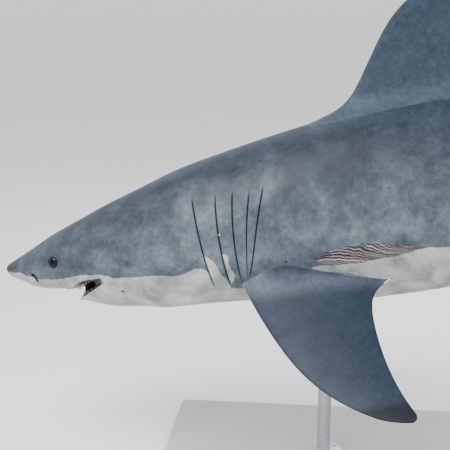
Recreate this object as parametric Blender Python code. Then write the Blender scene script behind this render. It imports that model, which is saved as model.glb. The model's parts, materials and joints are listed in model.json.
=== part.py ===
# Great white shark, a life-size still model on a two-rod stand.
# Metres, +Z up.  The snout points to -X, the left side to -Y.  The origin is the middle of the
# base's underside.  The fish is laid out level, as fractions of its total length with the snout
# tip at zero and x running to the tail, then swung sideways at the tail, scaled, and pitched.

import bpy
import bmesh
import math
import numpy as np
from mathutils import Vector

for old in list(bpy.data.objects):
    bpy.data.objects.remove(old, do_unlink=True)

# ---------------------------------------------------------------- driving dimensions
TOTAL_LENGTH = 4.2            # snout tip to upper tail tip, along the level body
PITCH = math.radians(11.5)    # nose down
TAIL_SWING = math.radians(10.0)
SNOUT = (-1.675, 0.000, 0.880)  # where the snout tip stands over the base
GAP = 0.0003                  # clearance between touching pieces
COLUMNS = 34                  # points round a body section

# trunk stations: position, back, belly, half width
STATIONS = np.array([
    [0.000, 0.0000, 0.0000, 0.0000],
    [0.017, 0.0107, -0.0165, 0.0132],
    [0.032, 0.0167, -0.0240, 0.0222],
    [0.061, 0.0291, -0.0304, 0.0375],
    [0.089, 0.0386, -0.0385, 0.0490],
    [0.120, 0.0488, -0.0552, 0.0585],
    [0.160, 0.0601, -0.0650, 0.0680],
    [0.205, 0.0725, -0.0685, 0.0738],
    [0.260, 0.0822, -0.0735, 0.0785],
    [0.320, 0.0906, -0.0825, 0.0820],
    [0.385, 0.0972, -0.0912, 0.0840],
    [0.450, 0.0986, -0.0925, 0.0825],
    [0.520, 0.0935, -0.0895, 0.0755],
    [0.600, 0.0785, -0.0785, 0.0620],
    [0.680, 0.0580, -0.0580, 0.0450],
    [0.750, 0.0385, -0.0375, 0.0285],
    [0.805, 0.0235, -0.0215, 0.0165],
    [0.840, 0.0190, -0.0175, 0.0110],
    [0.885, 0.0120, -0.0110, 0.0040],
])
KEEL = 0.0095                 # ridge along each side of the tail stock
CUT_NECK, CUT_SHOULDER, CUT_LOIN, CUT_STOCK = 0.205, 0.305, 0.455, 0.640

# mouth: front and corner of the lips, corner's angle round the section, jaw hinge
MOUTH_FRONT, MOUTH_CORNER, MOUTH_ANGLE = 0.068, 0.120, math.radians(85)
UNDERSLUNG, LIP_BAND = 0.0057, 0.004
HINGE_X, HINGE_Z, JAW_OPEN = 0.135, -0.020, math.radians(12.7)
THROAT = (0.100, -0.032)

EYE = (0.0665, 0.0364, 0.0068)       # centre: along, out, up
EYE_RADIUS, EYE_DEPTH = 0.0250, 0.0150

# gill slits: position of the top, middle and bottom, and the angles they span from the belly
GILLS = [
    (0.2249, 0.2277, 0.2312, 133, 60),
    (0.2484, 0.2460, 0.2474, 130, 60),
    (0.2657, 0.2602, 0.2590, 129, 62),
    (0.2820, 0.2718, 0.2646, 126, 62),
    (0.2959, 0.2826, 0.2670, 127, 64),
]

# fins: height of the root line and of the blade; front of the root, sweep and tip curl of the
# leading edge with their powers, and the long fillet in front; rear of the root, the free rear
# tip and how high it sits, the waist of the trailing edge and its flick towards the tip
FINS = {
    'dorsal': dict(root=0.0945, high=0.1165, front=0.3812, sweep=0.0775, bow=1.0, curl=0.0440, hook=8.0,
                   fillet=0.0345, rear=0.498, free=0.524, lift=0.07, waist=0.4970, flick=0.0145, power=3.0,
                   thick=0.046, flare=0.010, spread=0.022, rounding=0.04),
    'second_dorsal': dict(root=0.0400, high=0.0205, front=0.7380, sweep=0.022, bow=1.0, curl=0.003, hook=5.0,
                          fillet=0.006, rear=0.762, free=0.774, lift=0.15, waist=0.7635, flick=0.002, power=3.0,
                          thick=0.060, flare=0.003, spread=0.008),
    'anal': dict(root=0.0370, high=0.0195, front=0.7510, sweep=0.022, bow=1.0, curl=0.003, hook=5.0,
                 fillet=0.006, rear=0.774, free=0.786, lift=0.15, waist=0.7755, flick=0.002, power=3.0,
                 thick=0.060, flare=0.003, spread=0.008),
    'pectoral': dict(root=0.0, high=0.1605, front=-0.001, sweep=0.070, bow=1.12, curl=0.0477, hook=5.1,
                     fillet=0.0, rear=0.095, free=0.137, lift=0.084, waist=0.1137, flick=0.0253, power=3.35,
                     thick=0.050, flare=0.009, spread=0.020, rounding=0.05),
    'pelvic': dict(root=0.0, high=0.0440, front=0.0, sweep=0.027, bow=1.0, curl=0.012, hook=4.0,
                   fillet=0.004, rear=0.043, free=0.064, lift=0.22, waist=0.0450, flick=0.0, power=3.0,
                   thick=0.060, flare=0.004, spread=0.010),
    'caudal_upper': dict(root=0.0, high=0.1550, front=0.8074, sweep=0.180, bow=1.0, curl=0.0126, hook=6.0,
                         fillet=0.0, rear=0.9043, free=0.9043, lift=0.0, waist=0.9043, flick=0.098, power=1.5,
                         thick=0.050, flare=0.0, spread=1.0),
    'caudal_lower': dict(root=0.0, high=0.1370, front=0.8045, sweep=0.1317, bow=0.75, curl=0.0, hook=6.0,
                         fillet=0.0, rear=0.9043, free=0.9043, lift=0.0, waist=0.9043, flick=0.0345, power=1.5,
                         thick=0.050, flare=0.0, spread=1.0),
}
TAIL_NOTCH = (0.787, 0.022, 0.006)      # place up the upper lobe, width and depth
PECTORAL_ROOT, PECTORAL_DROOP = (0.262, 0.0715, -0.045), math.radians(35)
PELVIC_ROOT, PELVIC_DROOP = (0.556, 0.039, -0.0725), math.radians(38)

BASE_SIZE, BASE_BEVEL = (1.90, 0.95, 0.05), 0.006
ROD_RADIUS, ROD_STATIONS = 0.030, (0.335, 0.590)
FLANGE_RADIUS, FLANGE_HEIGHT, COLLAR_RADIUS, COLLAR_HEIGHT = 0.085, 0.014, 0.045, 0.070


# ---------------------------------------------------------------- curves and sections
def ease(a, b, x):
    t = np.clip((x - a) / (b - a), 0, 1)
    return t * t * (3 - 2 * t)


def monotone(x, xs, ys):
    """Monotone cubic through the stations (xs, ys)."""
    h = np.diff(xs)
    d = np.diff(ys) / h
    m = np.zeros(len(xs))
    for i in range(1, len(xs) - 1):
        if d[i - 1] * d[i] > 0:
            w1, w2 = 2 * h[i] + h[i - 1], h[i] + 2 * h[i - 1]
            m[i] = (w1 + w2) / (w1 / d[i - 1] + w2 / d[i])
    m[0], m[-1] = d[0], d[-1]
    i = np.clip(np.searchsorted(xs, x, side='right') - 1, 0, len(xs) - 2)
    t = (x - xs[i]) / h[i]
    return ((2 * t**3 - 3 * t**2 + 1) * ys[i] + (t**3 - 2 * t**2 + t) * h[i] * m[i]
            + (3 * t**2 - 2 * t**3) * ys[i + 1] + (t**3 - t**2) * h[i] * m[i + 1])


def section(s):
    """Back, belly, half width, widest height and belly squareness at s."""
    q, qs = np.sqrt(s), np.sqrt(STATIONS[:, 0])
    back, belly, width = (monotone(q, qs, STATIONS[:, k]) for k in (1, 2, 3))
    middle = belly + 0.46 * (back - belly)
    square = (2.0 + 0.5 * ease(0.0, 0.06, s) * (1 - ease(0.12, 0.26, s))
              + 0.15 * ease(0.12, 0.26, s) * (1 - ease(0.5, 0.7, s)))
    return back, belly, width, middle, square


def hide(s, b, grow=0.0):
    """Body surface at s, at the angle b from the belly line; grow is an outward offset."""
    back, belly, width, middle, square = section(s)
    back, belly, width = back + grow, belly - grow, width + grow
    sb, cb = np.sin(b), np.cos(b)
    power = np.where(cb > 0, 2 / square, 1.0)
    y = width * np.sign(sb) * np.abs(sb) ** power
    z = np.where(cb > 0, middle - (middle - belly) * np.abs(cb) ** power,
                 middle + (back - middle) * np.abs(cb) ** power)
    keel = KEEL * ease(0.68, 0.79, s) * (1 - ease(0.84, 0.885, s))
    y = y + np.sign(sb) * keel * np.exp(-((z - middle) / 0.0045) ** 2)
    return np.stack([s + 0 * b, y, z], -1)


def lips(b):
    a = np.minimum(np.abs(b) / MOUTH_ANGLE, 1)
    return MOUTH_FRONT + (MOUTH_CORNER - MOUTH_FRONT) * (0.5 * a**1.8 + 0.5 * a**9)


def open_jaw(p, b):
    """Turns the lower jaw about its hinge, fading out behind it and above the mouth's corner."""
    a = np.abs(b) / MOUTH_ANGLE
    turn = JAW_OPEN * (1 - ease(0.108, 0.185, p[..., 0])) * (1 - ease(0.92, 1.12, a))
    dx, dz = p[..., 0] - HINGE_X, p[..., 2] - HINGE_Z
    q = p.copy()
    q[..., 0] = HINGE_X + dx * np.cos(turn) - dz * np.sin(turn)
    q[..., 2] = HINGE_Z + dx * np.sin(turn) + dz * np.cos(turn)
    return q


SWING_S = np.linspace(0, 1.05, 2101)
SWING_A = TAIL_SWING * ease(0.46, 0.95, SWING_S)
SWING_X = np.concatenate([[0], np.cumsum(np.cos(SWING_A[1:]) * np.diff(SWING_S))])
SWING_Y = np.concatenate([[0], np.cumsum(np.sin(SWING_A[1:]) * np.diff(SWING_S))])


def place(p):
    """Level fish to the world: tail swing, scale, pitch, and its place over the base."""
    p = np.asarray(p, float)
    a = np.interp(p[..., 0], SWING_S, SWING_A)
    x = (np.interp(p[..., 0], SWING_S, SWING_X) + np.minimum(p[..., 0], 0)
         - p[..., 1] * np.sin(a)) * TOTAL_LENGTH
    y = (np.interp(p[..., 0], SWING_S, SWING_Y) + p[..., 1] * np.cos(a)) * TOTAL_LENGTH
    z = p[..., 2] * TOTAL_LENGTH
    c, s = math.cos(PITCH), math.sin(PITCH)
    return np.stack([c * x - s * z + SNOUT[0], y + SNOUT[1], s * x + c * z + SNOUT[2]], -1)


def round_angles(count, gather=0.04):
    b = 2 * np.pi * np.arange(count) / count - np.pi
    return b + gather * np.sin(2 * b)


# ---------------------------------------------------------------- meshes
def face_outwards(bm):
    bmesh.ops.recalc_face_normals(bm, faces=bm.faces)
    if bm.calc_volume(signed=True) < 0:
        bmesh.ops.reverse_faces(bm, faces=bm.faces)


def make_object(name, bm, colour=None, roughness=0.5, metallic=0.0):
    face_outwards(bm)
    mesh = bpy.data.meshes.new(name)
    bm.to_mesh(mesh)
    bm.free()
    obj = bpy.data.objects.new(name, mesh)
    bpy.context.scene.collection.objects.link(obj)
    if colour:
        material = bpy.data.materials.new(name)
        material.use_nodes = True
        shader = material.node_tree.nodes['Principled BSDF']
        shader.inputs['Base Color'].default_value = (*colour, 1)
        shader.inputs['Roughness'].default_value = roughness
        shader.inputs['Metallic'].default_value = metallic
        mesh.materials.append(material)
        mesh.shade_smooth()
        mesh.set_sharp_from_angle(angle=math.radians(40))
    return obj


def loft(rows, start='cap', end='cap'):
    """Closed skin through equal loops of points; an end is a flat cap or a single point."""
    bm = bmesh.new()
    loops = []
    for k, row in enumerate(rows):
        pole = (k == 0 and start == 'pole') or (k == len(rows) - 1 and end == 'pole')
        loops.append([bm.verts.new(row.mean(0))] if pole else [bm.verts.new(p) for p in row])
    for one, two in zip(loops[:-1], loops[1:]):
        n = max(len(one), len(two))
        for j in range(n):
            a, b = one[j % len(one)], one[(j + 1) % len(one)]
            c, d = two[(j + 1) % len(two)], two[j % len(two)]
            if a is b:
                bm.faces.new((a, c, d))
            elif c is d:
                bm.faces.new((a, b, d))
            else:
                bm.faces.new((a, b, c))
                bm.faces.new((a, c, d))
    if start == 'cap':
        bm.faces.new(loops[0])
    if end == 'cap':
        bm.faces.new(list(reversed(loops[-1])))
    return bm


def as_cutter(obj):
    obj.hide_render = True
    obj.display_type = 'WIRE'
    return obj


def boolean(obj, other, operation='DIFFERENCE'):
    """Adds the operation, then keeps its result as the object's own mesh."""
    modifier = obj.modifiers.new(operation.title(), 'BOOLEAN')
    modifier.operation, modifier.object, modifier.solver = operation, other, 'EXACT'
    graph = bpy.context.evaluated_depsgraph_get()
    mesh = bpy.data.meshes.new_from_object(obj.evaluated_get(graph), depsgraph=graph)
    obj.modifiers.remove(modifier)
    spare, obj.data = obj.data, mesh
    bpy.data.meshes.remove(spare)


def drop(*objects):
    for obj in objects:
        bpy.data.objects.remove(obj, do_unlink=True)


def tidy(obj, distance=0.00012):
    """Welds the slivers a Boolean leaves and dissolves edges shorter than the weld."""
    bm = bmesh.new()
    bm.from_mesh(obj.data)
    bmesh.ops.remove_doubles(bm, verts=bm.verts, dist=distance)
    bmesh.ops.dissolve_degenerate(bm, edges=bm.edges, dist=distance)
    bm.to_mesh(obj.data)
    bm.free()


def slice_rows(stations, grow=0.0, columns=COLUMNS):
    b = round_angles(columns)
    return [place(hide(np.full_like(b, s), b, grow)) for s in stations]


HIDE_GREY, HIDE_WHITE, HIDE_DARK = (0.20, 0.26, 0.31), (0.62, 0.66, 0.66), (0.10, 0.13, 0.16)

# ---------------------------------------------------------------- trunk pieces between the cuts
half = GAP / 2 / TOTAL_LENGTH
SEGMENTS = {
    'gills': np.linspace(CUT_NECK, CUT_SHOULDER, 6),
    'trunk_front': np.linspace(CUT_SHOULDER, CUT_LOIN, 7),
    'trunk_rear': np.linspace(CUT_LOIN, CUT_STOCK, 7),
    'tail_stock': np.array([0.640, 0.670, 0.700, 0.730, 0.758, 0.785, 0.812, 0.840, 0.862, 0.885]),
}
all_stations = np.unique(np.concatenate(list(SEGMENTS.values())).round(6))
bodies = {}
for name, stations in SEGMENTS.items():
    s = stations.copy()
    s[0] += half
    s[-1] -= half if name != 'tail_stock' else 0
    bodies[name] = make_object(name, loft(slice_rows(s)), HIDE_GREY, 0.45)
swollen_rows = slice_rows(all_stations, GAP / TOTAL_LENGTH)
swollen_rows[-1] = place(hide(np.full(COLUMNS, all_stations[-1]), round_angles(COLUMNS), GAP / TOTAL_LENGTH)
                         + np.array([GAP / TOTAL_LENGTH, 0, 0]))
swollen = as_cutter(make_object('cut_body', loft(swollen_rows)))

# ---------------------------------------------------------------- head with the open mouth
b = round_angles(36, 0.22)
upper_lip = lips(b)
lower_lip = (upper_lip + UNDERSLUNG * (1 - np.minimum(np.abs(b) / MOUTH_ANGLE, 1) ** 2)
             + LIP_BAND * ease(0.9, 1.05, np.abs(b) / MOUTH_ANGLE))
upper = hide(upper_lip, b)


def chin(s, start, b):
    """Rounds the lower jaw's front edge up towards its lip."""
    p = hide(s, b)
    p[..., 2] += 0.0050 * (1 - ease(0.0, 0.020, s - start)) * np.clip(np.cos(b), 0, 1) ** 2
    return open_jaw(p, b)


lower = chin(lower_lip, lower_lip, b)
lip_middle = (upper + lower) / 2
depth = (0.85 * (1 - ease(0.75, 1.0, np.abs(b) / MOUTH_ANGLE)))[:, None]
throat = lip_middle + (np.array([THROAT[0], 0, THROAT[1]]) - lip_middle) * depth * 2


def gullet(t):
    return (1 - t) ** 2 * upper + 2 * t * (1 - t) * throat + t * t * lower


head_rows = [hide(upper_lip * u ** 1.35 + 1e-6, b) for u in np.linspace(0, 1, 9)]
head_rows += [gullet(t) for t in (0.22, 0.5, 0.78)]
for g in np.linspace(0, 1, 9):
    s = lower_lip + (CUT_NECK - half - lower_lip) * g ** 1.25
    head_rows.append(chin(s, lower_lip, b))
head = make_object('head', loft([place(r) for r in head_rows], start='pole'), HIDE_GREY, 0.45)


def tooth(root, tip, side, thick):
    """Pointed blade: a four-sided root sunk in the gum and one tip."""
    bm = bmesh.new()
    root, tip, side, thick = (Vector(v) for v in (root, tip, side, thick))
    ring = [bm.verts.new(root + side), bm.verts.new(root + thick),
            bm.verts.new(root - side), bm.verts.new(root - thick)]
    top = bm.verts.new(tip)
    bm.faces.new(ring)
    for j in range(4):
        bm.faces.new((ring[(j + 1) % 4], ring[j], top))
    return bm


def join_meshes(name, parts):
    bm = bmesh.new()
    for part in parts:
        face_outwards(part)
        mesh = bpy.data.meshes.new('loose')
        part.to_mesh(mesh)
        part.free()
        bm.from_mesh(mesh)
        bpy.data.meshes.remove(mesh)
    mesh = bpy.data.meshes.new(name)
    bm.to_mesh(mesh)
    bm.free()
    obj = bpy.data.objects.new(name, mesh)
    bpy.context.scene.collection.objects.link(obj)
    return as_cutter(obj)


def at_angle(values, angle):
    """Reads a row of points at an angle between its columns."""
    return np.array([np.interp(angle, b, values[:, k]) for k in range(values.shape[1])])


def tooth_row(t, down, count, reach, height, lean):
    """Teeth at even steps along the gum line, smaller towards the mouth's corners."""
    row = gullet(t)
    angles = np.linspace(-reach, reach, 400)
    line = np.stack([np.interp(angles, b, row[:, k]) for k in range(3)], -1)
    length = np.concatenate([[0], np.cumsum(np.linalg.norm(np.diff(line, axis=0), axis=1))])
    pitch = length[-1] / count
    teeth = []
    for k in range(count):
        angle = np.interp((k + 0.5) * pitch, length, angles)
        root = at_angle(row, angle)
        step = at_angle(row, angle + 0.02) - at_angle(row, angle - 0.02)
        step /= np.linalg.norm(step)
        away = root - np.array([0.115, 0, root[2]])
        away /= np.linalg.norm(away)
        grow = np.array([0, 0, -1.0 if down else 1.0]) + lean * away
        grow /= np.linalg.norm(grow)
        size = height * (1 - 0.5 * (abs(k + 0.5 - count / 2) / (count / 2)) ** 2)
        foot = root - grow * 0.0036
        teeth.append(tooth(place(foot), place(root + grow * size),
                           (place(root + step * pitch * 0.42) - place(root)),
                           (place(root + away * size * 0.15) - place(root))))
    return teeth


upper_teeth = join_meshes('upper_teeth_shape', tooth_row(0.10, True, 16, math.radians(68), 0.0085, -0.25))
lower_teeth = join_meshes('lower_teeth_shape', tooth_row(0.92, False, 15, math.radians(66), 0.0080, 0.18))

# the parting sheet between jaw and head: from inside the mouth, down and back to the throat
ratio = np.abs(b) / MOUTH_ANGLE
inside = lip_middle + (gullet(0.5) - lip_middle) * (0.6 * (1 - ease(0.65, 0.88, ratio)))[:, None]
inside[:, 1] += np.sign(b) * 0.0030 * ease(0.80, 1.0, ratio)
span = [k for k in range(len(b)) if ratio[k] < 0.97]
corner = hide(np.array([MOUTH_CORNER + 0.0015]), np.array([MOUTH_ANGLE]))[0]
edge = [corner * (1, -1, 1) - (0, 0.010, 0), corner * (1, -1, 1) - (0, 0.0035, 0)]
edge += [inside[k] for k in span] + [corner + (0, 0.0035, 0), corner + (0, 0.010, 0)]
edge = np.array(edge)
fall = np.array([0.80, 0, -1.0])
fall /= np.linalg.norm(fall)
along = np.gradient(edge, axis=0)
facing = np.cross(along, fall)
facing /= np.linalg.norm(facing, axis=1)[:, None]
sheet_rows = []
for reach in (-0.0005, 0.03, 0.06, 0.10):
    centre = place(edge + fall * reach)
    ahead = place(edge + fall * reach + facing * 0.001) - centre
    ahead = ahead / np.linalg.norm(ahead, axis=1)[:, None] * GAP / 2
    sheet_rows.append(np.concatenate([centre + ahead, (centre - ahead)[::-1]]))
sheet = as_cutter(make_object('cut_jaw', loft(sheet_rows)))

for teeth in (upper_teeth, lower_teeth):
    boolean(head, teeth, 'UNION')
boolean(head, sheet)

# eyes, their sockets and the nostrils
eyes = {}
for name, side in (('eye_left', -1), ('eye_right', 1)):
    centre = np.array([EYE[0], side * EYE[1], EYE[2]])
    out = np.array([-0.22, side * 0.93, 0.22])
    out /= np.linalg.norm(out)
    for grow, label in ((0.0, name), (GAP, 'cut_' + name)):
        bm = bmesh.new()
        bmesh.ops.create_uvsphere(bm, u_segments=12, v_segments=6, radius=1.0)
        world = place(centre)
        axis = Vector(place(centre + out * 0.01) - world).normalized()
        turn = axis.to_track_quat('Z', 'Y').to_matrix()
        for v in bm.verts:
            local = Vector((v.co.x * (EYE_RADIUS + grow), v.co.y * (EYE_RADIUS + grow),
                            v.co.z * (EYE_DEPTH + grow)))
            v.co = Vector(world) - axis * 0.0040 + turn @ local
        obj = make_object(label, bm, (0.01, 0.012, 0.015) if grow == 0 else None, 0.08)
        if grow:
            boolean(head, as_cutter(obj))
            drop(obj)
        else:
            eyes[name] = obj


def slot(curve, width, depth, proud=0.004, lean=0.0):
    """Blade-shaped cutter along (s, angle) points on the hide, widest outside."""
    rows = []
    for k, (s, angle) in enumerate(curve):
        p0 = hide(np.array([s]), np.array([angle]))[0]
        ds = hide(np.array([s + 0.002]), np.array([angle]))[0] - p0
        db = hide(np.array([s]), np.array([angle + 0.01]))[0] - p0
        normal = np.cross(ds, db)
        normal /= np.linalg.norm(normal)
        if normal[1] * p0[1] < 0:
            normal = -normal
        ds /= np.linalg.norm(ds)
        taper = 0.35 + 0.65 * math.sin(math.pi * (k + 0.5) / len(curve)) ** 0.5
        w, d, o = (v / TOTAL_LENGTH * taper for v in (width, depth, proud / taper))
        inner = p0 - normal * d + ds * lean * d
        rows.append(place(np.array([p0 + normal * o + ds * w, p0 + normal * o - ds * w,
                                    inner - ds * w * 0.3, inner + ds * w * 0.3])))
    return loft(rows)


slots = []
for side in (-1, 1):
    for top, middle, bottom, high, low in GILLS:
        t = np.linspace(0, 1, 6)
        s = top * (1 - t) * (1 - 2 * t) + middle * 4 * t * (1 - t) + bottom * t * (2 * t - 1)
        angles = np.radians(high + (low - high) * t) * side
        slots.append(slot(list(zip(s, angles)), 0.0055, 0.016, lean=0.5))
gill_cut = join_meshes('cut_gills', slots)
boolean(bodies['gills'], gill_cut)

nostrils = []
for side in (-1, 1):
    t = np.linspace(0, 1, 4)
    s = 0.0315 + 0.0060 * t + 0.0015 * np.sin(np.pi * t)
    angles = np.radians(84 - 24 * t) * side
    nostrils.append(slot(list(zip(s, angles)), 0.0035, 0.008))
nostril_cut = join_meshes('cut_nostrils', nostrils)
boolean(head, nostril_cut)

# part the jaw from the head
bm = bmesh.new()
bm.from_mesh(head.data)
bm.verts.ensure_lookup_table()
seen, islands = set(), []
for start in bm.verts:
    if start in seen:
        continue
    stack, island = [start], []
    seen.add(start)
    while stack:
        v = stack.pop()
        island.append(v)
        for e in v.link_edges:
            o = e.other_vert(v)
            if o not in seen:
                seen.add(o)
                stack.append(o)
    islands.append([v.index for v in island])
bm.free()
islands.sort(key=len, reverse=True)
print('islands', [len(i) for i in islands])
jaw = head.copy()
jaw.data = head.data.copy()
jaw.name = jaw.data.name = 'lower_jaw'
bpy.context.scene.collection.objects.link(jaw)
for obj, keep in ((head, islands[0]), (jaw, islands[1])):
    bm = bmesh.new()
    bm.from_mesh(obj.data)
    bm.verts.ensure_lookup_table()
    kept = set(keep)
    bmesh.ops.delete(bm, geom=[v for v in bm.verts if v.index not in kept], context='VERTS')
    bm.to_mesh(obj.data)
    bm.free()
jaw.data.materials.clear()
jaw_material = head.data.materials[0].copy()
jaw_material.name = 'lower_jaw'
jaw_material.node_tree.nodes['Principled BSDF'].inputs['Base Color'].default_value = (*HIDE_WHITE, 1)
jaw.data.materials.append(jaw_material)


# ---------------------------------------------------------------- fins
def fin_edges(fin, u):
    """Leading and trailing edge at the share u of the blade's height."""
    v = np.clip(u, 0, 1)
    lead = (fin['front'] + fin['sweep'] * v ** fin['bow'] + fin['curl'] * v ** fin['hook']
            - fin['fillet'] * np.exp(-v / 0.06))
    waist = fin['waist'] + fin['flick'] * v ** fin['power']
    lift = fin['lift']
    if lift > 0:
        at_lift = fin['waist'] + fin['flick'] * lift ** fin['power']
        below = fin['rear'] + (fin['free'] - fin['rear']) * v / lift
        above = waist + (fin['free'] - at_lift) * np.exp(-(v - lift) / (0.75 * lift))
        trail = np.where(v < lift, below, above)
        if 'rounding' in fin:
            near_tip = np.clip((v - 1 + fin['rounding']) / fin['rounding'], 0, 0.98)
            nose = lead + (trail - lead) * 0.62
            lead = nose + (lead - nose) * np.sqrt(1 - near_tip**2)
            trail = nose + (trail - nose) * np.sqrt(1 - near_tip**2)
        return lead, trail
    if fin is FINS['caudal_upper']:
        place_up, wide, deep = TAIL_NOTCH
        waist = waist - deep * np.exp(-((v - place_up) / wide) ** 2)
    return lead, waist


def fin_rows(fin, shares, place_point, around):
    """Blade sections up the fin, thick near the front, thin behind, flared at the root."""
    turn = np.linspace(0, 2 * np.pi, 2 * around, endpoint=False)
    chordwise = 0.5 * (1 - np.cos(turn))
    profile = (2.969 * np.sqrt(chordwise) - 1.26 * chordwise - 3.516 * chordwise**2
               + 2.843 * chordwise**3 - 1.036 * chordwise**4)
    sides = np.sign(np.sin(turn)) * (np.abs(np.sin(turn)) > 1e-9)
    rows = []
    for u in shares:
        lead, trail = fin_edges(fin, u)
        chord = trail - lead
        h = fin['root'] + u * fin['high']
        swell = fin['flare'] * np.clip(1 - u * fin['high'] / fin['spread'], 0, 1.6) ** 2
        across = (chord * fin['thick'] * (1 - 0.55 * np.clip(u, 0, 1)) * profile + 0.0006
                  + swell * np.sqrt(np.abs(np.sin(turn))))
        rows.append(place_point(lead + chord * chordwise, np.full_like(turn, h), across * sides))
    return rows


def upright(sign=1, lean=0.0):
    return lambda x, h, a: place(np.stack([x, a + 0 * h, sign * h], -1))


def sideways(root, droop, side):
    def point(x, h, a):
        out, down = math.cos(droop), math.sin(droop)
        y = root[1] + h * out + a * down
        z = root[2] - h * down + a * out
        return place(np.stack([root[0] + x, side * y, z], -1))
    return point


def add_fin(name, kind, point, sunk, colour, steps=12, around=8):
    """sunk is how far the root runs into the body, as a share of the blade's height."""
    rounding = FINS[kind].get('rounding', 0)
    t = np.linspace(0, 1, steps - 2 if rounding else steps)
    shares = np.concatenate([[-sunk], (0.55 * t + 0.45 * np.sin(t * np.pi / 2)) * (1 - rounding)])
    if rounding:
        shares = np.concatenate([shares, [1 - 0.34 * rounding, 1.0]])
    obj = make_object(name, loft(fin_rows(FINS[kind], shares, point, around)), colour, 0.45)
    boolean(obj, swollen)
    return obj


fins = [
    add_fin('dorsal_fin', 'dorsal', upright(), 0.13, HIDE_GREY, 12),
    add_fin('second_dorsal_fin', 'second_dorsal', upright(), 0.6, HIDE_GREY, 7, 5),
    add_fin('anal_fin', 'anal', upright(-1), 0.6, HIDE_WHITE, 7, 5),
]
for side, label in ((-1, 'left'), (1, 'right')):
    fins.append(add_fin('pectoral_fin_' + label, 'pectoral',
                        sideways(PECTORAL_ROOT, PECTORAL_DROOP, side), 0.12, HIDE_GREY, 13))
    fins.append(add_fin('pelvic_fin_' + label, 'pelvic',
                        sideways(PELVIC_ROOT, PELVIC_DROOP, side), 0.27, HIDE_WHITE, 8, 5))


def keep_outer(obj):
    """Keeps the largest loose piece, the blade outside the body."""
    bm = bmesh.new()
    bm.from_mesh(obj.data)
    left, parts = set(bm.verts), []
    while left:
        stack, part = [left.pop()], []
        while stack:
            v = stack.pop()
            part.append(v)
            for e in v.link_edges:
                o = e.other_vert(v)
                if o in left:
                    left.discard(o)
                    stack.append(o)
        parts.append(part)
    parts.sort(key=lambda p: -max((v.co - w.co).length for v in p[:1] for w in p) - len(p))
    print(obj.name, 'pieces', [len(p) for p in parts])
    bmesh.ops.delete(bm, geom=[v for p in parts[1:] for v in p], context='VERTS')
    bm.to_mesh(obj.data)
    bm.free()


# tail fin: two lobes that meet in a thin cut on the middle line
for name, kind, sign in (('caudal_fin_upper', 'caudal_upper', 1), ('caudal_fin_lower', 'caudal_lower', -1)):
    shares = np.linspace(0, 1, 12)
    if kind == 'caudal_upper':
        shares = np.concatenate([np.linspace(0, 0.70, 8), [0.755, 0.787, 0.825, 0.90, 0.97, 1.0]])
    shares[0] = GAP / 2 / TOTAL_LENGTH / FINS[kind]['high']
    obj = make_object(name, loft(fin_rows(FINS[kind], shares, upright(sign), 6)), HIDE_GREY, 0.45)
    boolean(obj, swollen)
    fins.append(obj)
for obj in fins:
    keep_outer(obj)

# ---------------------------------------------------------------- stand
bm = bmesh.new()
bmesh.ops.create_cube(bm, size=1.0)
bmesh.ops.scale(bm, vec=BASE_SIZE, verts=bm.verts)
bmesh.ops.translate(bm, vec=(0, 0, BASE_SIZE[2] / 2), verts=bm.verts)
uprights = [e for e in bm.edges if abs(e.verts[0].co.z - e.verts[1].co.z) > 0.01]
bmesh.ops.bevel(bm, geom=uprights, offset=0.04, segments=4, affect='EDGES', profile=0.5)
rim = [e for e in bm.edges if all(v.co.z > BASE_SIZE[2] - 1e-4 for v in e.verts)]
bmesh.ops.bevel(bm, geom=rim, offset=BASE_BEVEL, segments=1, affect='EDGES', profile=0.5)
stand_base = make_object('stand_base', bm, (0.35, 0.36, 0.37), 0.5)

for name, station in zip(('stand_rod_front', 'stand_rod_rear'), ROD_STATIONS):
    centre = place(np.array([station, 0, section(np.array([station]))[1][0]]))
    low, high = BASE_SIZE[2] + GAP, centre[2] + 0.10
    meet = centre[2] - COLLAR_HEIGHT
    profile = [(FLANGE_RADIUS, low), (FLANGE_RADIUS, low + FLANGE_HEIGHT * 0.7),
               (FLANGE_RADIUS - 0.004, low + FLANGE_HEIGHT), (ROD_RADIUS + 0.006, low + FLANGE_HEIGHT),
               (ROD_RADIUS, low + FLANGE_HEIGHT + 0.008), (ROD_RADIUS, meet - 0.02),
               (COLLAR_RADIUS, meet), (COLLAR_RADIUS, high)]
    turn = np.linspace(0, 2 * np.pi, 14, endpoint=False)
    rows = [np.stack([centre[0] + r * np.cos(turn), centre[1] + r * np.sin(turn), z + 0 * turn], -1)
            for r, z in profile]
    rod = make_object(name, loft(rows), (0.55, 0.56, 0.58), 0.3, 1.0)
    boolean(rod, swollen)
    keep_outer(rod)

drop(swollen, sheet, upper_teeth, lower_teeth, gill_cut, nostril_cut)
for obj in bpy.context.scene.objects:
    if obj.type == 'MESH':
        tidy(obj)
        obj.data.shade_smooth()
        obj.data.set_sharp_from_angle(angle=math.radians(40))
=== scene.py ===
# Great white shark, life size, as a still display model on a plinth with two rods.
# The fish is worked out level, in shares of its total length from the snout tip (x to the tail,
# y out, z up), then swung at the tail, scaled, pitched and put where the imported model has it.
# A place on the body is (s, b): s along the body, b round it from the belly line, + on its right.

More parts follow.
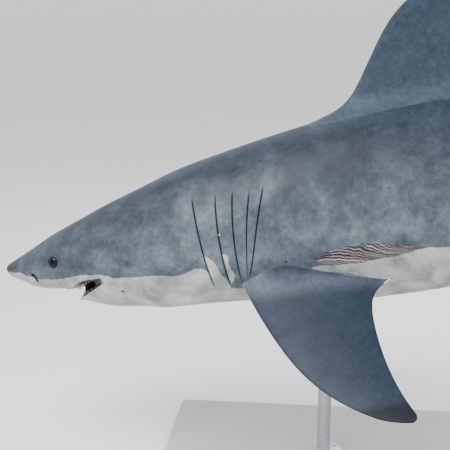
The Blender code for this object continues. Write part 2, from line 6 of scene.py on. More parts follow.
import json
import math
import bpy
import numpy as np
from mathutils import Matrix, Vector

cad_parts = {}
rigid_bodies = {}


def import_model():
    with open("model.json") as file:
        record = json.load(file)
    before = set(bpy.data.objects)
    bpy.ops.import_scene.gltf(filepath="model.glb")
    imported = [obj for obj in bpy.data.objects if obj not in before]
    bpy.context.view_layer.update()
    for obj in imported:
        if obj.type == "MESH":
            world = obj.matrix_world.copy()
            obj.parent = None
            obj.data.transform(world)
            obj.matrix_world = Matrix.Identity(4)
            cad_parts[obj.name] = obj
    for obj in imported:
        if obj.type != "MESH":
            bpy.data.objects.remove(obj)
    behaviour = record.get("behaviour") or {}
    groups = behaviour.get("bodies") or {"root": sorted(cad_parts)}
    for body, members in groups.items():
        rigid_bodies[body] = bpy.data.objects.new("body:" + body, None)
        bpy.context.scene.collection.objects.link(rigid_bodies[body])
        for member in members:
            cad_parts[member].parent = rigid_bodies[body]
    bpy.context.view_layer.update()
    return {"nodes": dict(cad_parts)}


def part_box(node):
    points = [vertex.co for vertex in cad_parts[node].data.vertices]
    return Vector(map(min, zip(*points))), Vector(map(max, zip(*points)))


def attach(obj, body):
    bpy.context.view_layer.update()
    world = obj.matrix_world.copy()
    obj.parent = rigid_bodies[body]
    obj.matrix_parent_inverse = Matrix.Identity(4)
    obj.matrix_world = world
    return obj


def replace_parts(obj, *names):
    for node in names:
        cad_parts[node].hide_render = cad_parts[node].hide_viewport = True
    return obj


for old in list(bpy.data.objects):
    bpy.data.objects.remove(old, do_unlink=True)

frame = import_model()
print("frame: %d nodes" % len(frame["nodes"]))


# The fish's plan
fish = {
    "length": 4.2, "pitch": math.radians(11.5), "tailSwing": math.radians(10.0),
    "inset": 0.0005, "tipInset": 0.0004,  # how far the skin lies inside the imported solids
    "keel": 0.0095, "keelHeight": 0.0045,
    "widest": 0.46,  # how far up each section is widest, from belly to back
    "wedge": (0.835, 0.8845), "wedgeThins": 0.70,  # the stock thins between the tail lobes
    # position, back, belly, half width
    "stations": np.array([
        [0.000, 0.0000, 0.0000, 0.0000],
        [0.017, 0.0107, -0.0165, 0.0132],
        [0.032, 0.0167, -0.0240, 0.0222],
        [0.061, 0.0291, -0.0304, 0.0375],
        [0.089, 0.0386, -0.0385, 0.0490],
        [0.120, 0.0488, -0.0552, 0.0585],
        [0.160, 0.0601, -0.0650, 0.0680],
        [0.205, 0.0725, -0.0685, 0.0738],
        [0.260, 0.0822, -0.0735, 0.0785],
        [0.320, 0.0906, -0.0825, 0.0820],
        [0.385, 0.0972, -0.0912, 0.0840],
        [0.450, 0.0986, -0.0925, 0.0825],
        [0.520, 0.0935, -0.0895, 0.0755],
        [0.600, 0.0785, -0.0785, 0.0620],
        [0.680, 0.0580, -0.0580, 0.0450],
        [0.750, 0.0385, -0.0375, 0.0285],
        [0.805, 0.0235, -0.0215, 0.0165],
        [0.840, 0.0190, -0.0175, 0.0110],
        [0.885, 0.0120, -0.0110, 0.0040],
    ]),
}
mouth = {
    "front": 0.068, "corner": 0.120, "angle": math.radians(85),
    "underslung": 0.0057, "band": 0.004,
    "hinge": (0.135, -0.020), "open": math.radians(12.7), "throat": (0.100, -0.032),
    # where the jaw's turn fades: positions along the body, and shares of the mouth's angle round it
    "turnEnds": (0.108, 0.185), "turnSides": (0.92, 1.12),
}
# each slit: position of its top, middle and bottom, and the angles that it spans
gillSlits = [
    (0.2249, 0.2277, 0.2312, 133, 60),
    (0.2484, 0.2460, 0.2474, 130, 60),
    (0.2657, 0.2602, 0.2590, 129, 62),
    (0.2820, 0.2718, 0.2646, 126, 62),
    (0.2959, 0.2804, 0.2656, 127, 64),
]


def packedPoints(node):
    mesh = frame["nodes"][node].data
    co = np.empty(len(mesh.vertices) * 3, np.float32)
    mesh.vertices.foreach_get("co", co)
    return co.reshape(-1, 3).astype(float)


headPoints = packedPoints("head")
snoutTip = headPoints[headPoints[:, 0].argmin()]


# Curves that the shapes are made of
def ease(low, high, x):
    # smooth step: 3t^2 - 2t^3 with t running from 0 at low to 1 at high
    t = np.clip((x - low) / (high - low), 0, 1)
    return t * t * (3 - 2 * t)


def hill(x, centre, width):
    # bell: exp(-((x - centre) / width)^2)
    return np.exp(-((x - centre) / width) ** 2)


def through(x, xs, ys):
    # monotone cubic through the points (xs, ys)
    h = np.diff(xs)
    d = np.diff(ys) / h
    m = np.zeros(len(xs))
    m[0], m[-1] = d[0], d[-1]
    same = d[:-1] * d[1:] > 0
    w1, w2 = 2 * h[1:] + h[:-1], h[1:] + 2 * h[:-1]
    m[1:-1][same] = ((w1 + w2)[same]) / (w1[same] / d[:-1][same] + w2[same] / d[1:][same])
    i = np.clip(np.searchsorted(xs, x, side="right") - 1, 0, len(xs) - 2)
    t = (x - xs[i]) / h[i]
    return ((2 * t**3 - 3 * t**2 + 1) * ys[i] + (t**3 - 2 * t**2 + t) * h[i] * m[i]
            + (3 * t**2 - 2 * t**3) * ys[i + 1] + (t**3 - t**2) * h[i] * m[i + 1])


def unit(v):
    # vectors of length one
    return v / np.maximum(np.linalg.norm(v, axis=-1, keepdims=True), 1e-12)


def allRound(count):
    # count angles evenly round a circle
    return np.linspace(0, 2 * np.pi, count, endpoint=False)


def spread(low, high, count, *crowds):
    # count places from low to high; each crowd (centre, width, extra) packs them closer there
    fine = np.linspace(low, high, 4001)
    density = 1 + sum(extra * hill(fine, centre, width) for centre, width, extra in crowds)
    total = np.concatenate([[0], np.cumsum((density[1:] + density[:-1]) / 2)])
    return np.interp(np.linspace(0, total[-1], count), total, fine)


def waviness(p, scale):
    # a mild even unevenness: three sums of sines across the point's coordinates
    x, y, z = (p[..., k] * scale for k in range(3))
    return (np.sin(x + 1.7 * np.sin(0.7 * y + 1)) + np.sin(1.3 * y + 1.1 * np.sin(0.9 * z))
            + np.sin(1.7 * z + 1.3 * np.sin(0.6 * x + 2))) / 3


# The body's surface
def section(s):
    # back, belly, half width, widest height and squareness of the section at s
    stations, q = fish["stations"], np.sqrt(np.maximum(s, 0))
    back, belly, width = (through(q, np.sqrt(stations[:, 0]), stations[:, k]) for k in (1, 2, 3))
    middle = belly + fish["widest"] * (back - belly)
    square = (2.0 + 0.5 * ease(0.0, 0.06, s) * (1 - ease(0.12, 0.26, s))
              + 0.15 * ease(0.12, 0.26, s) * (1 - ease(0.5, 0.7, s)))
    inset = fish["inset"] * ease(0, 0.015, s)
    run = ease(*fish["wedge"], s)
    thins = 1 - fish["wedgeThins"] * run
    back = middle + (back - middle - inset) * thins
    belly = middle + (belly - middle + inset) * thins
    width = np.maximum(width - inset, 0) * np.maximum(1 - run, 0) ** 0.8
    return back, belly, width, middle, square


def hide(s, b):
    # body surface: an ellipse above the widest height, a squarer curve below it, with side keels
    back, belly, width, middle, square = section(s)
    sinB, cosB = np.sin(b), np.cos(b)
    power = np.where(cosB > 0, 2 / square, 1.0)
    y = width * np.sign(sinB) * np.abs(sinB) ** power
    z = np.where(cosB > 0, middle - (middle - belly) * np.abs(cosB) ** power,
                 middle + (back - middle) * np.abs(cosB) ** power)
    keel = (fish["keel"] - fish["inset"]) * ease(0.68, 0.79, s) * (1 - ease(0.84, 0.884, s))
    y = y + np.sign(sinB) * keel * hill(z, middle, fish["keelHeight"])
    tip = fish["tipInset"] * (1 - ease(0, 0.03, s))
    return np.stack([s + tip + 0 * b, y, z], -1)


def spotOn(s, b):
    # one place on the body, in the world
    return place(hide(np.array([s]), np.array([b])))[0]


def hideNormal(s, b):
    # outward direction, from small steps along and round the body
    low = np.maximum(s - 4e-4, 1e-6)
    along = hide(s + 4e-4, b) - hide(low, b)
    around = hide(s, b + 0.01) - hide(s, b - 0.01)
    return unit(np.cross(around, along))


def outsideness(p):
    # under 1 inside the body, over 1 outside it, along a ray from the section's middle
    back, belly, width, middle, square = section(p[..., 0])
    low = p[..., 2] < middle
    n = np.where(low, square, 2.0)
    reach = np.where(low, middle - belly, back - middle)
    ratio = (np.abs(p[..., 1]) / width) ** n + (np.abs(p[..., 2] - middle) / reach) ** n
    return ratio ** (1 / n)


def ontoHide(p, sink):
    # moves points along that ray to the body surface, sunk by a small share
    ratio = outsideness(p) / (1 - sink)
    middle = section(p[..., 0])[3]
    return np.stack([p[..., 0], p[..., 1] / ratio, middle + (p[..., 2] - middle) / ratio], -1)


def angleOf(p):
    # the angle b of points that lie on the body
    back, belly, width, middle, square = section(p[..., 0])
    low = p[..., 2] < middle
    power = np.where(low, square / 2, 1.0)
    side = np.clip(np.abs(p[..., 1]) / width, 0, 1) ** power
    up = np.where(low, -np.clip((middle - p[..., 2]) / (middle - belly), 0, 1) ** power,
                  np.clip((p[..., 2] - middle) / (back - middle), 0, 1))
    return np.arctan2(side, -up) * np.sign(p[..., 1])


def upperLip(b):
    # front + (corner - front) (a^1.8 + a^9) / 2, where a is the share of the mouth's angle
    a = np.minimum(np.abs(b) / mouth["angle"], 1)
    return mouth["front"] + (mouth["corner"] - mouth["front"]) * (0.5 * a**1.8 + 0.5 * a**9)


def lowerLip(b):
    # behind the upper lip by a band that starts at the corner, and by the underslung jaw in front
    a = np.abs(b) / mouth["angle"]
    return (upperLip(b) + mouth["underslung"] * (1 - np.minimum(a, 1) ** 2)
            + mouth["band"] * ease(0.9, 1.05, a))


lips = {
    # upper lip drawn up: height, the degrees over which that starts and ends, and a bell near the corner
    "rise": 0.0021, "riseStarts": (6, 26), "riseEnds": (84, 91), "riseAtCorner": (0.0011, 77, 8),
    # lower lip drawn down: height, middle and width in degrees; how far along the body either fades
    "fall": (0.0036, 72, 11), "fade": 0.024,
    # rounding of the jaw's front edge and its reach; height, place and width of the lip's roll and groove
    "chin": 0.0050, "chinReach": 0.020, "roll": (0.0022, 0.007, 0.007), "groove": (0.0016, 0.022, 0.006),
}


def lipRise(s, b):
    # how far the upper lip is drawn up, fading away from the mouth's edge
    a = np.degrees(np.abs(b))
    high, centre, width = lips["riseAtCorner"]
    most = lips["rise"] * ease(*lips["riseStarts"], a) * (1 - ease(*lips["riseEnds"], a))
    most = most + high * hill(a, centre, width)
    return most * (1 - ease(0.0, lips["fade"], upperLip(b) - s))


def lipFall(s, b):
    # how far the lower lip is drawn down towards the mouth's corner
    high, centre, width = lips["fall"]
    return high * hill(np.degrees(np.abs(b)), centre, width) * (1 - ease(0.0, lips["fade"], s - lowerLip(b)))


def openJaw(p, b):
    # turns the lower jaw about its hinge, less and less behind it and above the mouth's corner
    a = np.abs(b) / mouth["angle"]
    turn = mouth["open"] * (1 - ease(*mouth["turnEnds"], p[..., 0])) * (1 - ease(*mouth["turnSides"], a))
    hx, hz = mouth["hinge"]
    dx, dz = p[..., 0] - hx, p[..., 2] - hz
    return np.stack([hx + dx * np.cos(turn) - dz * np.sin(turn), p[..., 1],
                     hz + dx * np.sin(turn) + dz * np.cos(turn)], -1)


def lowerJaw(p, s, b):
    # rounds the jaw's front edge up to its lip, then opens it
    rise = lips["chin"] * (1 - ease(0.0, lips["chinReach"], s - lowerLip(b))) * np.clip(np.cos(b), 0, 1) ** 2
    rise = rise - lipFall(s, b)
    return openJaw(p + np.stack([0 * rise, 0 * rise, rise], -1), b)


swingS = np.linspace(0, 1.05, 2101)
swingA = fish["tailSwing"] * ease(0.46, 0.95, swingS)
swingX = np.concatenate([[0], np.cumsum(np.cos(swingA[1:]) * np.diff(swingS))])
swingY = np.concatenate([[0], np.cumsum(np.sin(swingA[1:]) * np.diff(swingS))])


def place(p):
    # level fish to the world: tail swing, scale, pitch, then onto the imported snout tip
    a = np.interp(p[..., 0], swingS, swingA)
    x = np.interp(p[..., 0], swingS, swingX) + np.minimum(p[..., 0], 0) - p[..., 1] * np.sin(a)
    y = np.interp(p[..., 0], swingS, swingY) + p[..., 1] * np.cos(a)
    c, t = math.cos(fish["pitch"]), math.sin(fish["pitch"])
    return snoutTip + fish["length"] * np.stack([c * x - t * p[..., 2], y, t * x + c * p[..., 2]], -1)


# Where the colours lie, worked out with the shape so that markings sit on the anatomy
coat = {
    # where grey meets white: position and angle from the belly line, in degrees
    "edge": np.array([[0.0, 93], [0.020, 93], [0.032, 84.5], [0.047, 78], [0.060, 78.2], [0.078, 81.5],
                      [0.095, 86.5], [0.112, 89], [0.124, 88.5], [0.150, 85.2], [0.182, 82.8], [0.200, 79.5],
                      [0.209, 80], [0.215, 82], [0.223, 82], [0.228, 78.5], [0.236, 60], [0.262, 55.5],
                      [0.300, 64], [0.338, 72.8], [0.370, 71.8], [0.395, 73], [0.435, 75], [0.456, 73.4],
                      [0.600, 77], [0.700, 86], [0.780, 88], [0.808, 74], [0.832, 44], [0.850, 8],
                      [0.885, -30]]),
    # white tongues behind a gill slit: which slit, then (degrees, length) down the rear edge
    "tongues": [(0, [(60, 0.0158), (67, 0.0156), (71, 0.0142), (75, 0.0108), (81, 0.0097), (84, 0.0079),
                     (87, 0.0058), (89.5, 0.0010)]),
                (1, [(60, 0.0), (65, 0.0046), (70, 0.0072), (74, 0.0074), (80, 0.0056), (82.5, 0.0042),
                     (85, 0.0058), (87, 0.0060), (88.6, 0.0018)])],
    # where the head's dark crown ends, the degrees over which it sets in, and where the tail stock darkens
    "headEnds": (0.13, 0.24), "crown": (78, 118), "tailStock": (0.785, 0.865),
    "tailTone": 0.34, "tailDeep": 0.35,
}
scar = {
    # a raked wound. Top and bottom edges: position and angle
    "top": np.array([[0.330, 75.0], [0.342, 81], [0.353, 83.3], [0.368, 84.6], [0.384, 84.1], [0.397, 82.6],
                     [0.410, 80.0], [0.424, 77.8], [0.440, 75.2]]),
    "bottom": np.array([[0.330, 76.0], [0.338, 73.0], [0.356, 72.1], [0.376, 72.4], [0.397, 73.4],
                        [0.412, 74.0], [0.428, 75.3], [0.440, 76.1]]),
    # its front end, the spacing of the rake marks in metres, and how far they run back as they drop
    "start": 0.333, "spacing": 0.034, "lean": (0.15, 0.07),
}
# small marks on the left side: position, angle, radius in metres and colour
specks = [(0.1381, 71.2, 0.0065, "speck"), (0.3053, 77.8, 0.0050, "speck"), (0.2471, 102.2, 0.0050, "white")]


def slitAt(k, b):
    # slit k at the angle b: its position, and its share of the way down (0 top, 1 bottom)
    top, middle, bottom, high, low = gillSlits[k]
    share = (high - np.degrees(np.abs(b))) / (high - low)
    t = np.clip(share, 0, 1)
    return top * (1 - t) * (1 - 2 * t) + middle * 4 * t * (1 - t) + bottom * t * (2 * t - 1), share


def girth(s):
    # mean radius in metres
    back, belly, width = section(s)[:3]
    return fish["length"] * (width + (back - belly) / 2) / 2


def edgeAt(s, edge):
    # the angle of an edge given as places along the body
    return through(np.clip(s, edge[0, 0], edge[-1, 0]), edge[:, 0], edge[:, 1])


def bodyMarks(s, b):
    # tone: metres above (+) or below (-) the grey edge, with each tongue joined on by the smaller distance
    angle, radius = np.degrees(np.abs(b)), girth(s)
    tone = np.radians(angle - edgeAt(s, coat["edge"])) * radius
    for k, rear in coat["tongues"]:
        turns, reach = (np.array(column) for column in zip(*rear))
        behind = (s - slitAt(k, b)[0]) * fish["length"]
        beforeRear = np.interp(angle, turns, reach) * fish["length"] - behind
        inside = np.minimum(np.minimum(5 * behind, beforeRear), np.radians(turns[-1] - angle) * radius)
        tone = np.minimum(tone, -inside)
    # the scar's band: metres along it, above its bottom edge and below its top edge; left side only
    far = np.where(b < 0, 0.0, -9.0)
    above = np.radians(angle - edgeAt(s, scar["bottom"])) * radius + far
    below = np.radians(edgeAt(s, scar["top"]) - angle) * radius + far
    # the head darkens towards its crown and over the cheek, the tail stock towards the tail fin
    head = (1 - ease(*coat["headEnds"], s)) * ease(*coat["crown"], angle)
    tail = ease(*coat["tailStock"], s)
    return {"tone": np.clip(tone, -0.4, 0.6) + coat["tailTone"] * tail,
            "blade": coat["tailDeep"] * tail + 0 * tone, "head": head,
            "scarAlong": (s - scar["start"]) * fish["length"],
            "scarAbove": np.clip(above, -0.1, 0.2), "scarBelow": np.clip(below, -0.1, 0.2)}


# Mesh building. A shell gathers points, their marks and the faces of closed skins for one piece
markNames = ["tone", "tip", "hollowShade", "flesh", "scarAlong", "scarAbove", "scarBelow", "snout", "blade", "head",
             "fromCentre", "rise"]
unmarked = {"scarAbove": -0.1, "scarBelow": -0.1}  # the other marks are 0 where they aren't given


def newShell():
    return {"points": [], "count": 0, "marks": {name: [] for name in markNames}, "faces3": [], "faces4": []}


def addPoints(shell, points, marks=None):
    # adds world points with their marks, and gives their numbers in the same array shape
    marks = marks or {}
    shell["points"].append(points.reshape(-1, 3))
    for name in markNames:
        value = np.asarray(marks.get(name, unmarked.get(name, 0.0)), float)
        shell["marks"][name].append(np.broadcast_to(value, points.shape[:-1]).reshape(-1))
    first = shell["count"]
    shell["count"] += len(shell["points"][-1])
    return np.arange(first, shell["count"]).reshape(points.shape[:-1])


def gridFaces(index):
    # four-sided faces between neighbouring rings
    after = np.roll(index, -1, 1)
    return np.stack([index[:-1], after[:-1], after[1:], index[1:]], -1)


def fan(ring, centre, outwards=True):
    # three-sided faces from a ring to one point
    corners = [ring, np.roll(ring, -1), np.full_like(ring, centre)]
    return np.stack(corners if outwards else [corners[1], corners[0], corners[2]], -1)


def tube(shell, rings, ends, marks=None, endMarks=None):
    # rings closed by a point at each end
    index, tips = addPoints(shell, rings, marks), addPoints(shell, np.array(ends), endMarks)
    return [gridFaces(index), fan(index[0], tips[0], False), fan(index[-1], tips[1])]


def closeShell(shell, whole, faces):
    # keeps one closed skin's faces, turned outwards by the sign of their volume
    points = np.concatenate(shell["points"])
    f3, f4 = (np.concatenate([np.zeros((0, n), int)] + [f.reshape(-1, n) for f in faces if f.shape[-1] == n])
              for n in (3, 4))
    corners = np.concatenate([f4[:, [0, 1, 2]], f4[:, [0, 2, 3]], f3])
    p = points - points[corners[0, 0]]
    a, b, c = (p[corners[:, k]] for k in range(3))
    volume = np.einsum("ij,ij->i", a, np.cross(b, c)).sum() / 6
    if volume < 0:
        f4, f3 = f4[:, ::-1], f3[:, ::-1]
    shell["faces4"].append(f4)
    shell["faces3"].append(f3)
    print("  %s: %d triangles, %.2f litres" % (whole, 2 * len(f4) + len(f3), abs(volume) * 1000))


def makePiece(name, shell, material, smoothAngle=None):
    # one mesh object at the origin, riding on the root body; unused points are dropped
    points = np.concatenate(shell["points"])
    f4, f3 = np.concatenate(shell["faces4"]), np.concatenate(shell["faces3"])
    used, renumber = np.unique(np.concatenate([f4.ravel(), f3.ravel()]), return_inverse=True)
    mesh = bpy.data.meshes.new(name)
    mesh.vertices.add(len(used))
    mesh.vertices.foreach_set("co", points[used].astype(np.float32).ravel())
    mesh.loops.add(len(renumber))
    mesh.loops.foreach_set("vertex_index", renumber.ravel().astype(np.int32))
    mesh.polygons.add(len(f4) + len(f3))
    firstLoops = np.concatenate([np.arange(len(f4)) * 4, len(f4) * 4 + np.arange(len(f3)) * 3])
    mesh.polygons.foreach_set("loop_start", firstLoops.astype(np.int32))
    mesh.update(calc_edges=True)
    if mesh.validate():
        print("  %s: the mesh needed mending" % name)
    for mark, parts in shell["marks"].items():
        values = np.concatenate(parts)[used].astype(np.float32)
        if np.ptp(values) > 1e-6:
            mesh.attributes.new(mark, "FLOAT", "POINT").data.foreach_set("value", values)
    mesh.shade_smooth()
    if smoothAngle is not None:
        mesh.set_sharp_from_angle(angle=smoothAngle)
    mesh.materials.append(material)
    piece = bpy.data.objects.new(name, mesh)
    bpy.context.scene.collection.objects.link(piece)
    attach(piece, "root")
    return piece


# The body's rows and columns
rows = {"snout": 66, "mouthIn": 34, "jaw": 46, "beforeGills": 4, "betweenGills": 2, "afterGills": 7,
        "flank": 66, "tail": 84, "halfRound": 92}
rowsFrom = {"gills": 0.198, "flank": 0.312, "tail": 0.452, "end": 0.8844, "pole": 0.8848}
halfRound = spread(0, math.pi, rows["halfRound"] + 1, (math.radians(100), math.radians(28), 1.7))
columnB = np.concatenate([-halfRound[:0:-1], halfRound[:-1]])  # from the back down the left, up the right
lipB = upperLip(columnB)
lowB = lowerLip(columnB)
mouthShare = np.abs(columnB) / mouth["angle"]
inMouth = 1 - ease(0.96, 1.0, mouthShare)

snoutG = spread(0, 1, rows["snout"], (0.0, 0.05, 3), (0.34, 0.08, 1.6), (0.555, 0.08, 3.0), (1.0, 0.05, 3.5))
snoutS = np.maximum(snoutG[:, None] * lipB[None, :], 1e-6)
jawG = spread(0, 1, rows["jaw"], (0.0, 0.07, 4.5))
jawS = lowB[None, :] + (rowsFrom["gills"] - lowB[None, :]) * jawG[:, None]

# a gill slit's rows: millimetres behind the slit where it gapes, the same where it closes, and height
slitProfile = np.array([
    [-34, -34, 0.0], [-25, -25, 0.8], [-17, -17, 1.9], [-10, -10, 2.9], [-5.5, -5.5, 3.3], [-2.8, -3.0, 3.0],
    [-1.2, -1.8, 2.2], [-0.5, -0.9, 0.8], [-0.6, -0.3, -1.4], [-1.0, 0.3, -4.0], [-0.8, 1.0, -6.5],
    [0.4, 1.8, -7.6], [1.9, 2.6, -6.2], [3.0, 3.4, -3.6], [4.2, 4.6, -1.4], [6.4, 6.5, -0.1], [10, 10, 0.3],
    [15, 15, 0.1], [21, 21, 0.0],
])
# full reach of that profile in metres, and the most of the gap to the next slit that it may take
slitReach = {"ahead": 0.034, "behind": 0.020, "aheadShare": 0.58, "behindShare": 0.38, "lastGap": 0.03}


def gillRows():
    # rows that run along every slit, so that each flap's edge is a row of its own: position, height, and the
    # painted shade down in the slit
    length, found = fish["length"], []

    def plainRows(start, end, count):
        for f in (np.arange(count) + 1) / (count + 1):
            found.append((start + (end - start) * f, 0 * columnB, 0 * columnB))

    spots = [slitAt(k, columnB)[0] for k in range(5)]
    last = rowsFrom["gills"] + 0 * columnB
    for k in range(5):
        share = slitAt(k, columnB)[1]
        window = np.clip(1 - np.abs(2 * np.clip(share, 0, 1) - 1) ** 7, 0, 1)
        before = spots[k] - (spots[k - 1] if k else rowsFrom["gills"])
        after = spots[k + 1] - spots[k] if k < 4 else slitReach["lastGap"]
        ahead = np.clip(before * length * slitReach["aheadShare"] / slitReach["ahead"], 0, 1)
        behind = np.clip(after * length * slitReach["behindShare"] / slitReach["behind"], 0, 1)
        strength = window * np.minimum(1, np.sqrt(np.minimum(ahead, behind)))
        count = rows["betweenGills" if k else "beforeGills"]
        plainRows(last, spots[k] - slitReach["ahead"] * ahead / length, count)
        for opened, closed, height in slitProfile:
            offset = closed + (opened - closed) * strength
            last = spots[k] + offset * np.where(offset < 0, ahead, behind) * 0.001 / length
            found.append((last, height * 0.001 * strength, np.clip(-height / 2.4, 0, 1) * np.sqrt(window)))
    plainRows(last, rowsFrom["flank"], rows["afterGills"])
    return (np.array(column) for column in zip(*found))


gillS, gillHeight, slitShade = gillRows()
flankS = np.repeat(np.linspace(rowsFrom["flank"], rowsFrom["tail"], rows["flank"])[:, None], len(columnB), 1)
tailB = columnB[::2]
tailG = spread(rowsFrom["tail"], rowsFrom["end"], rows["tail"] + 1, (rowsFrom["end"], 0.02, 4.0))[1:]
tailS = np.repeat(tailG[:, None], len(tailB), 1)


def outerPoints(s, b, height, jaw=True):
    # body surface with a height in metres over it; jaw rows are opened with the lower jaw
    p = hide(s, b) + hideNormal(s, b) * (height / fish["length"])[..., None]
    return lowerJaw(p, s, b) if jaw else p


def lipHeight(distance, b):
    # a rounded lip with a shallow groove behind it; distance from the mouth's edge in metres
    side = 1 - ease(0.90, 1.0, np.abs(b) / mouth["angle"])
    roll, groove = (high * hill(distance, at, wide) for high, at, wide in (lips["roll"], lips["groove"]))
    return side * (roll - groove)


def smallForms(s, b):
    # low swells of muscle and hide, under a millimetre or two
    p = hide(s, b)
    return 0.0006 * waviness(p, 95) * ease(0.01, 0.05, s) + 0.0005 * waviness(p, 33) * ease(0.1, 0.3, s)


# Sockets: round patches let into the body grid, so that their rings follow the rim
def socketPatch(shell, faces, index, block, socket):
    # rings run from the block's edge to an ellipse, then down the profile:
    # place = (1 - f) * edge of the block + f * ellipse, in (s, b), raised along the socket's axis.
    # profile rows: metres outside the rim, height in metres, and painted shade in the hollow from 0 to 1
    r0, r1, c0, c1 = block
    width, length = c1 - c0, r1 - r0
    row = [np.full(width, r0), np.arange(r0, r1), np.full(width, r1), np.arange(r1, r0, -1)]
    column = [np.arange(c0, c1), np.full(length, c1), np.arange(c1, c0, -1), np.full(length, c0)]
    row, column = np.concatenate(row), np.concatenate(column)
    previous, loopS, loopB = index[row, column], snoutS[row, column], columnB[column]
    s0, b0 = socket["spot"]
    out, long, short = socket["axes"]
    stepS, stepB = 5e-4, 5e-3
    alongS = (spotOn(s0 + stepS, b0) - spotOn(s0 - stepS, b0)) / (2 * stepS)
    alongB = (spotOn(s0, b0 + stepB) - spotOn(s0, b0 - stepB)) / (2 * stepB)
    toSpot = np.linalg.inv(np.array([[alongS @ long, alongB @ long], [alongS @ short, alongB @ short]]))
    flat = (place(hide(loopS, loopB)) - spotOn(s0, b0)) @ np.stack([long, short], 1)
    rim, bend = np.array(socket["rim"]), socket["bend"]
    angle = np.arctan2(flat[:, 1] / (rim[1] + 0.02), flat[:, 0] / (rim[0] + 0.02))
    around = np.stack([np.cos(angle), np.sin(angle)], -1)
    first = socket["profile"][0]
    steps = [((k + 1) / 7, first[0], first[1], 0.0) for k in range(6)]
    steps += [(1.0, *ring) for ring in socket["profile"]]
    for f, reach, height, paintedShade in steps:
        flatRing = around * (rim + reach)
        share = np.clip(flatRing[:, 0] / rim[0], -1.25, 1.25)
        flatRing[:, 1] += bend * (1 - share**2)
        spot = flatRing @ toSpot.T
        s = loopS * (1 - f) + (s0 + spot[:, 0]) * f
        b = loopB * (1 - f) + (b0 + spot[:, 1]) * f
        surface = place(outerPoints(s, b, smallForms(s, b), False))
        if socket["flap"]:
            # the front side stands up as a flap, and leans back over the hollow
            up, back, at, wide = socket["flap"]
            front = hill(reach, at, wide) * np.clip(-around[:, 1:] * np.sign(bend), 0, 1)
            front = front * (1 - share[:, None] ** 2).clip(0)
            points = surface + out * (height * f + up * front) + short * np.sign(bend) * back * front
        else:
            # towards the rim the rings turn from the body's curve to a plane round the centre
            plane = socket["centre"] + flatRing[:, :1] * long + flatRing[:, 1:] * short + height * out
            points = surface * (1 - f * f) + plane * f * f
        marks = {**bodyMarks(s, b), "hollowShade": paintedShade, "snout": 1 - ease(0.05, 0.10, s)}
        here = addPoints(shell, points, marks)
        faces.append(gridFaces(np.stack([previous, here])))
        previous = here
    middle = addPoints(shell, points.mean(0)[None, :], {"hollowShade": paintedShade, "tone": 0.1})
    faces.append(fan(previous, middle[0]))


def levelOf(world):
    # the reverse of place for the straight front half of the body
    c, t = math.cos(fish["pitch"]), math.sin(fish["pitch"])
    q = (np.asarray(world) - snoutTip) / fish["length"]
    return np.stack([c * q[..., 0] + t * q[..., 2], q[..., 1], -t * q[..., 0] + c * q[..., 2]], -1)


def turned(direction):
    # a level direction in the world
    return unit(place(np.array(direction) * 0.01) - place(np.zeros(3)))


eyes = {
    "radius": 0.0246, "depth": 0.0142, "lean": (-0.22, 0.93, 0.22), "opening": 0.0235,
    "block": (0.0105, 0.29),  # how much of the grid its socket takes, in s and in radians
    # metres outside the rim, height over the eye's centre, and painted shade where the lid dips to the eye
    "lid": [(0.0125, 0.0040, 0), (0.0095, 0.0043, 0), (0.0070, 0.0050, 0), (0.0048, 0.0058, 0),
            (0.0029, 0.0062, 0), (0.0014, 0.0060, 0.15), (0.0004, 0.0053, 0.5), (-0.0005, 0.0042, 0.9),
            (-0.0013, 0.0024, 1), (-0.0030, 0.0005, 1)],
}
nostrils = {
    # its two ends, position and degrees; how far it bends back; half length and half width of the rim
    "from": (0.0328, 91), "to": (0.0412, 58), "bend": 0.0190, "rim": (0.0340, 0.0082),
    "block": (0.0085, 0.36),
    "flap": (0.0030, 0.0025, 0.0008, 0.0045),  # how far up and back it stands, its place and its width
    # lips: metres outside the rim, height, and painted shade down in the nostril
    "lips": [(0.0100, 0.0000, 0), (0.0072, 0.0004, 0), (0.0048, 0.0010, 0), (0.0026, 0.0013, 0),
             (0.0010, 0.0007, 0.1), (0.0000, -0.0008, 0.6), (-0.0008, -0.0035, 1), (-0.0016, -0.0070, 1),
             (-0.0026, -0.0100, 1)],
}


def eyeSocket(side):
    low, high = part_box("eye_left" if side < 0 else "eye_right")
    centre = (np.array(low) + np.array(high)) / 2
    out = turned(np.array(eyes["lean"]) * (1, side, 1))
    long = unit(np.cross(out, turned((0, 0, 1.0))))
    spot = ontoHide(levelOf(centre), 0)
    return {"centre": centre, "axes": (out, long, unit(np.cross(out, long))), "rim": (eyes["opening"],) * 2,
            "profile": eyes["lid"], "flap": None, "bend": 0.0, "spot": (spot[0], float(angleOf(spot)))}


def nostrilSocket(side):
    (s1, a1), (s2, a2) = nostrils["from"], nostrils["to"]
    s0, b0 = (s1 + s2) / 2, side * math.radians((a1 + a2) / 2)
    ends = hide(np.array([s1, s2]), np.radians([a1, a2]) * side)
    out = turned(hideNormal(np.array([s0]), np.array([b0]))[0])
    long = turned(ends[1] - ends[0])
    long = unit(long - (long @ out) * out)
    short = unit(np.cross(out, long))
    back = np.sign(short @ turned((1.0, 0, 0)))
    return {"centre": None, "axes": (out, long, short), "rim": nostrils["rim"], "profile": nostrils["lips"],
            "flap": nostrils["flap"], "bend": nostrils["bend"] * back, "spot": (s0, b0)}


def blockRound(spot, alongReach, aroundReach):
    # the snout's rows and columns that surround a spot, by their reach in s and in radians
    column = np.where(np.abs(columnB - spot[1]) < aroundReach)[0]
    row = np.where(np.abs(snoutS[:, np.abs(columnB - spot[1]).argmin()] - spot[0]) < alongReach)[0]
    return row[0], row[-1], column[0], column[-1]


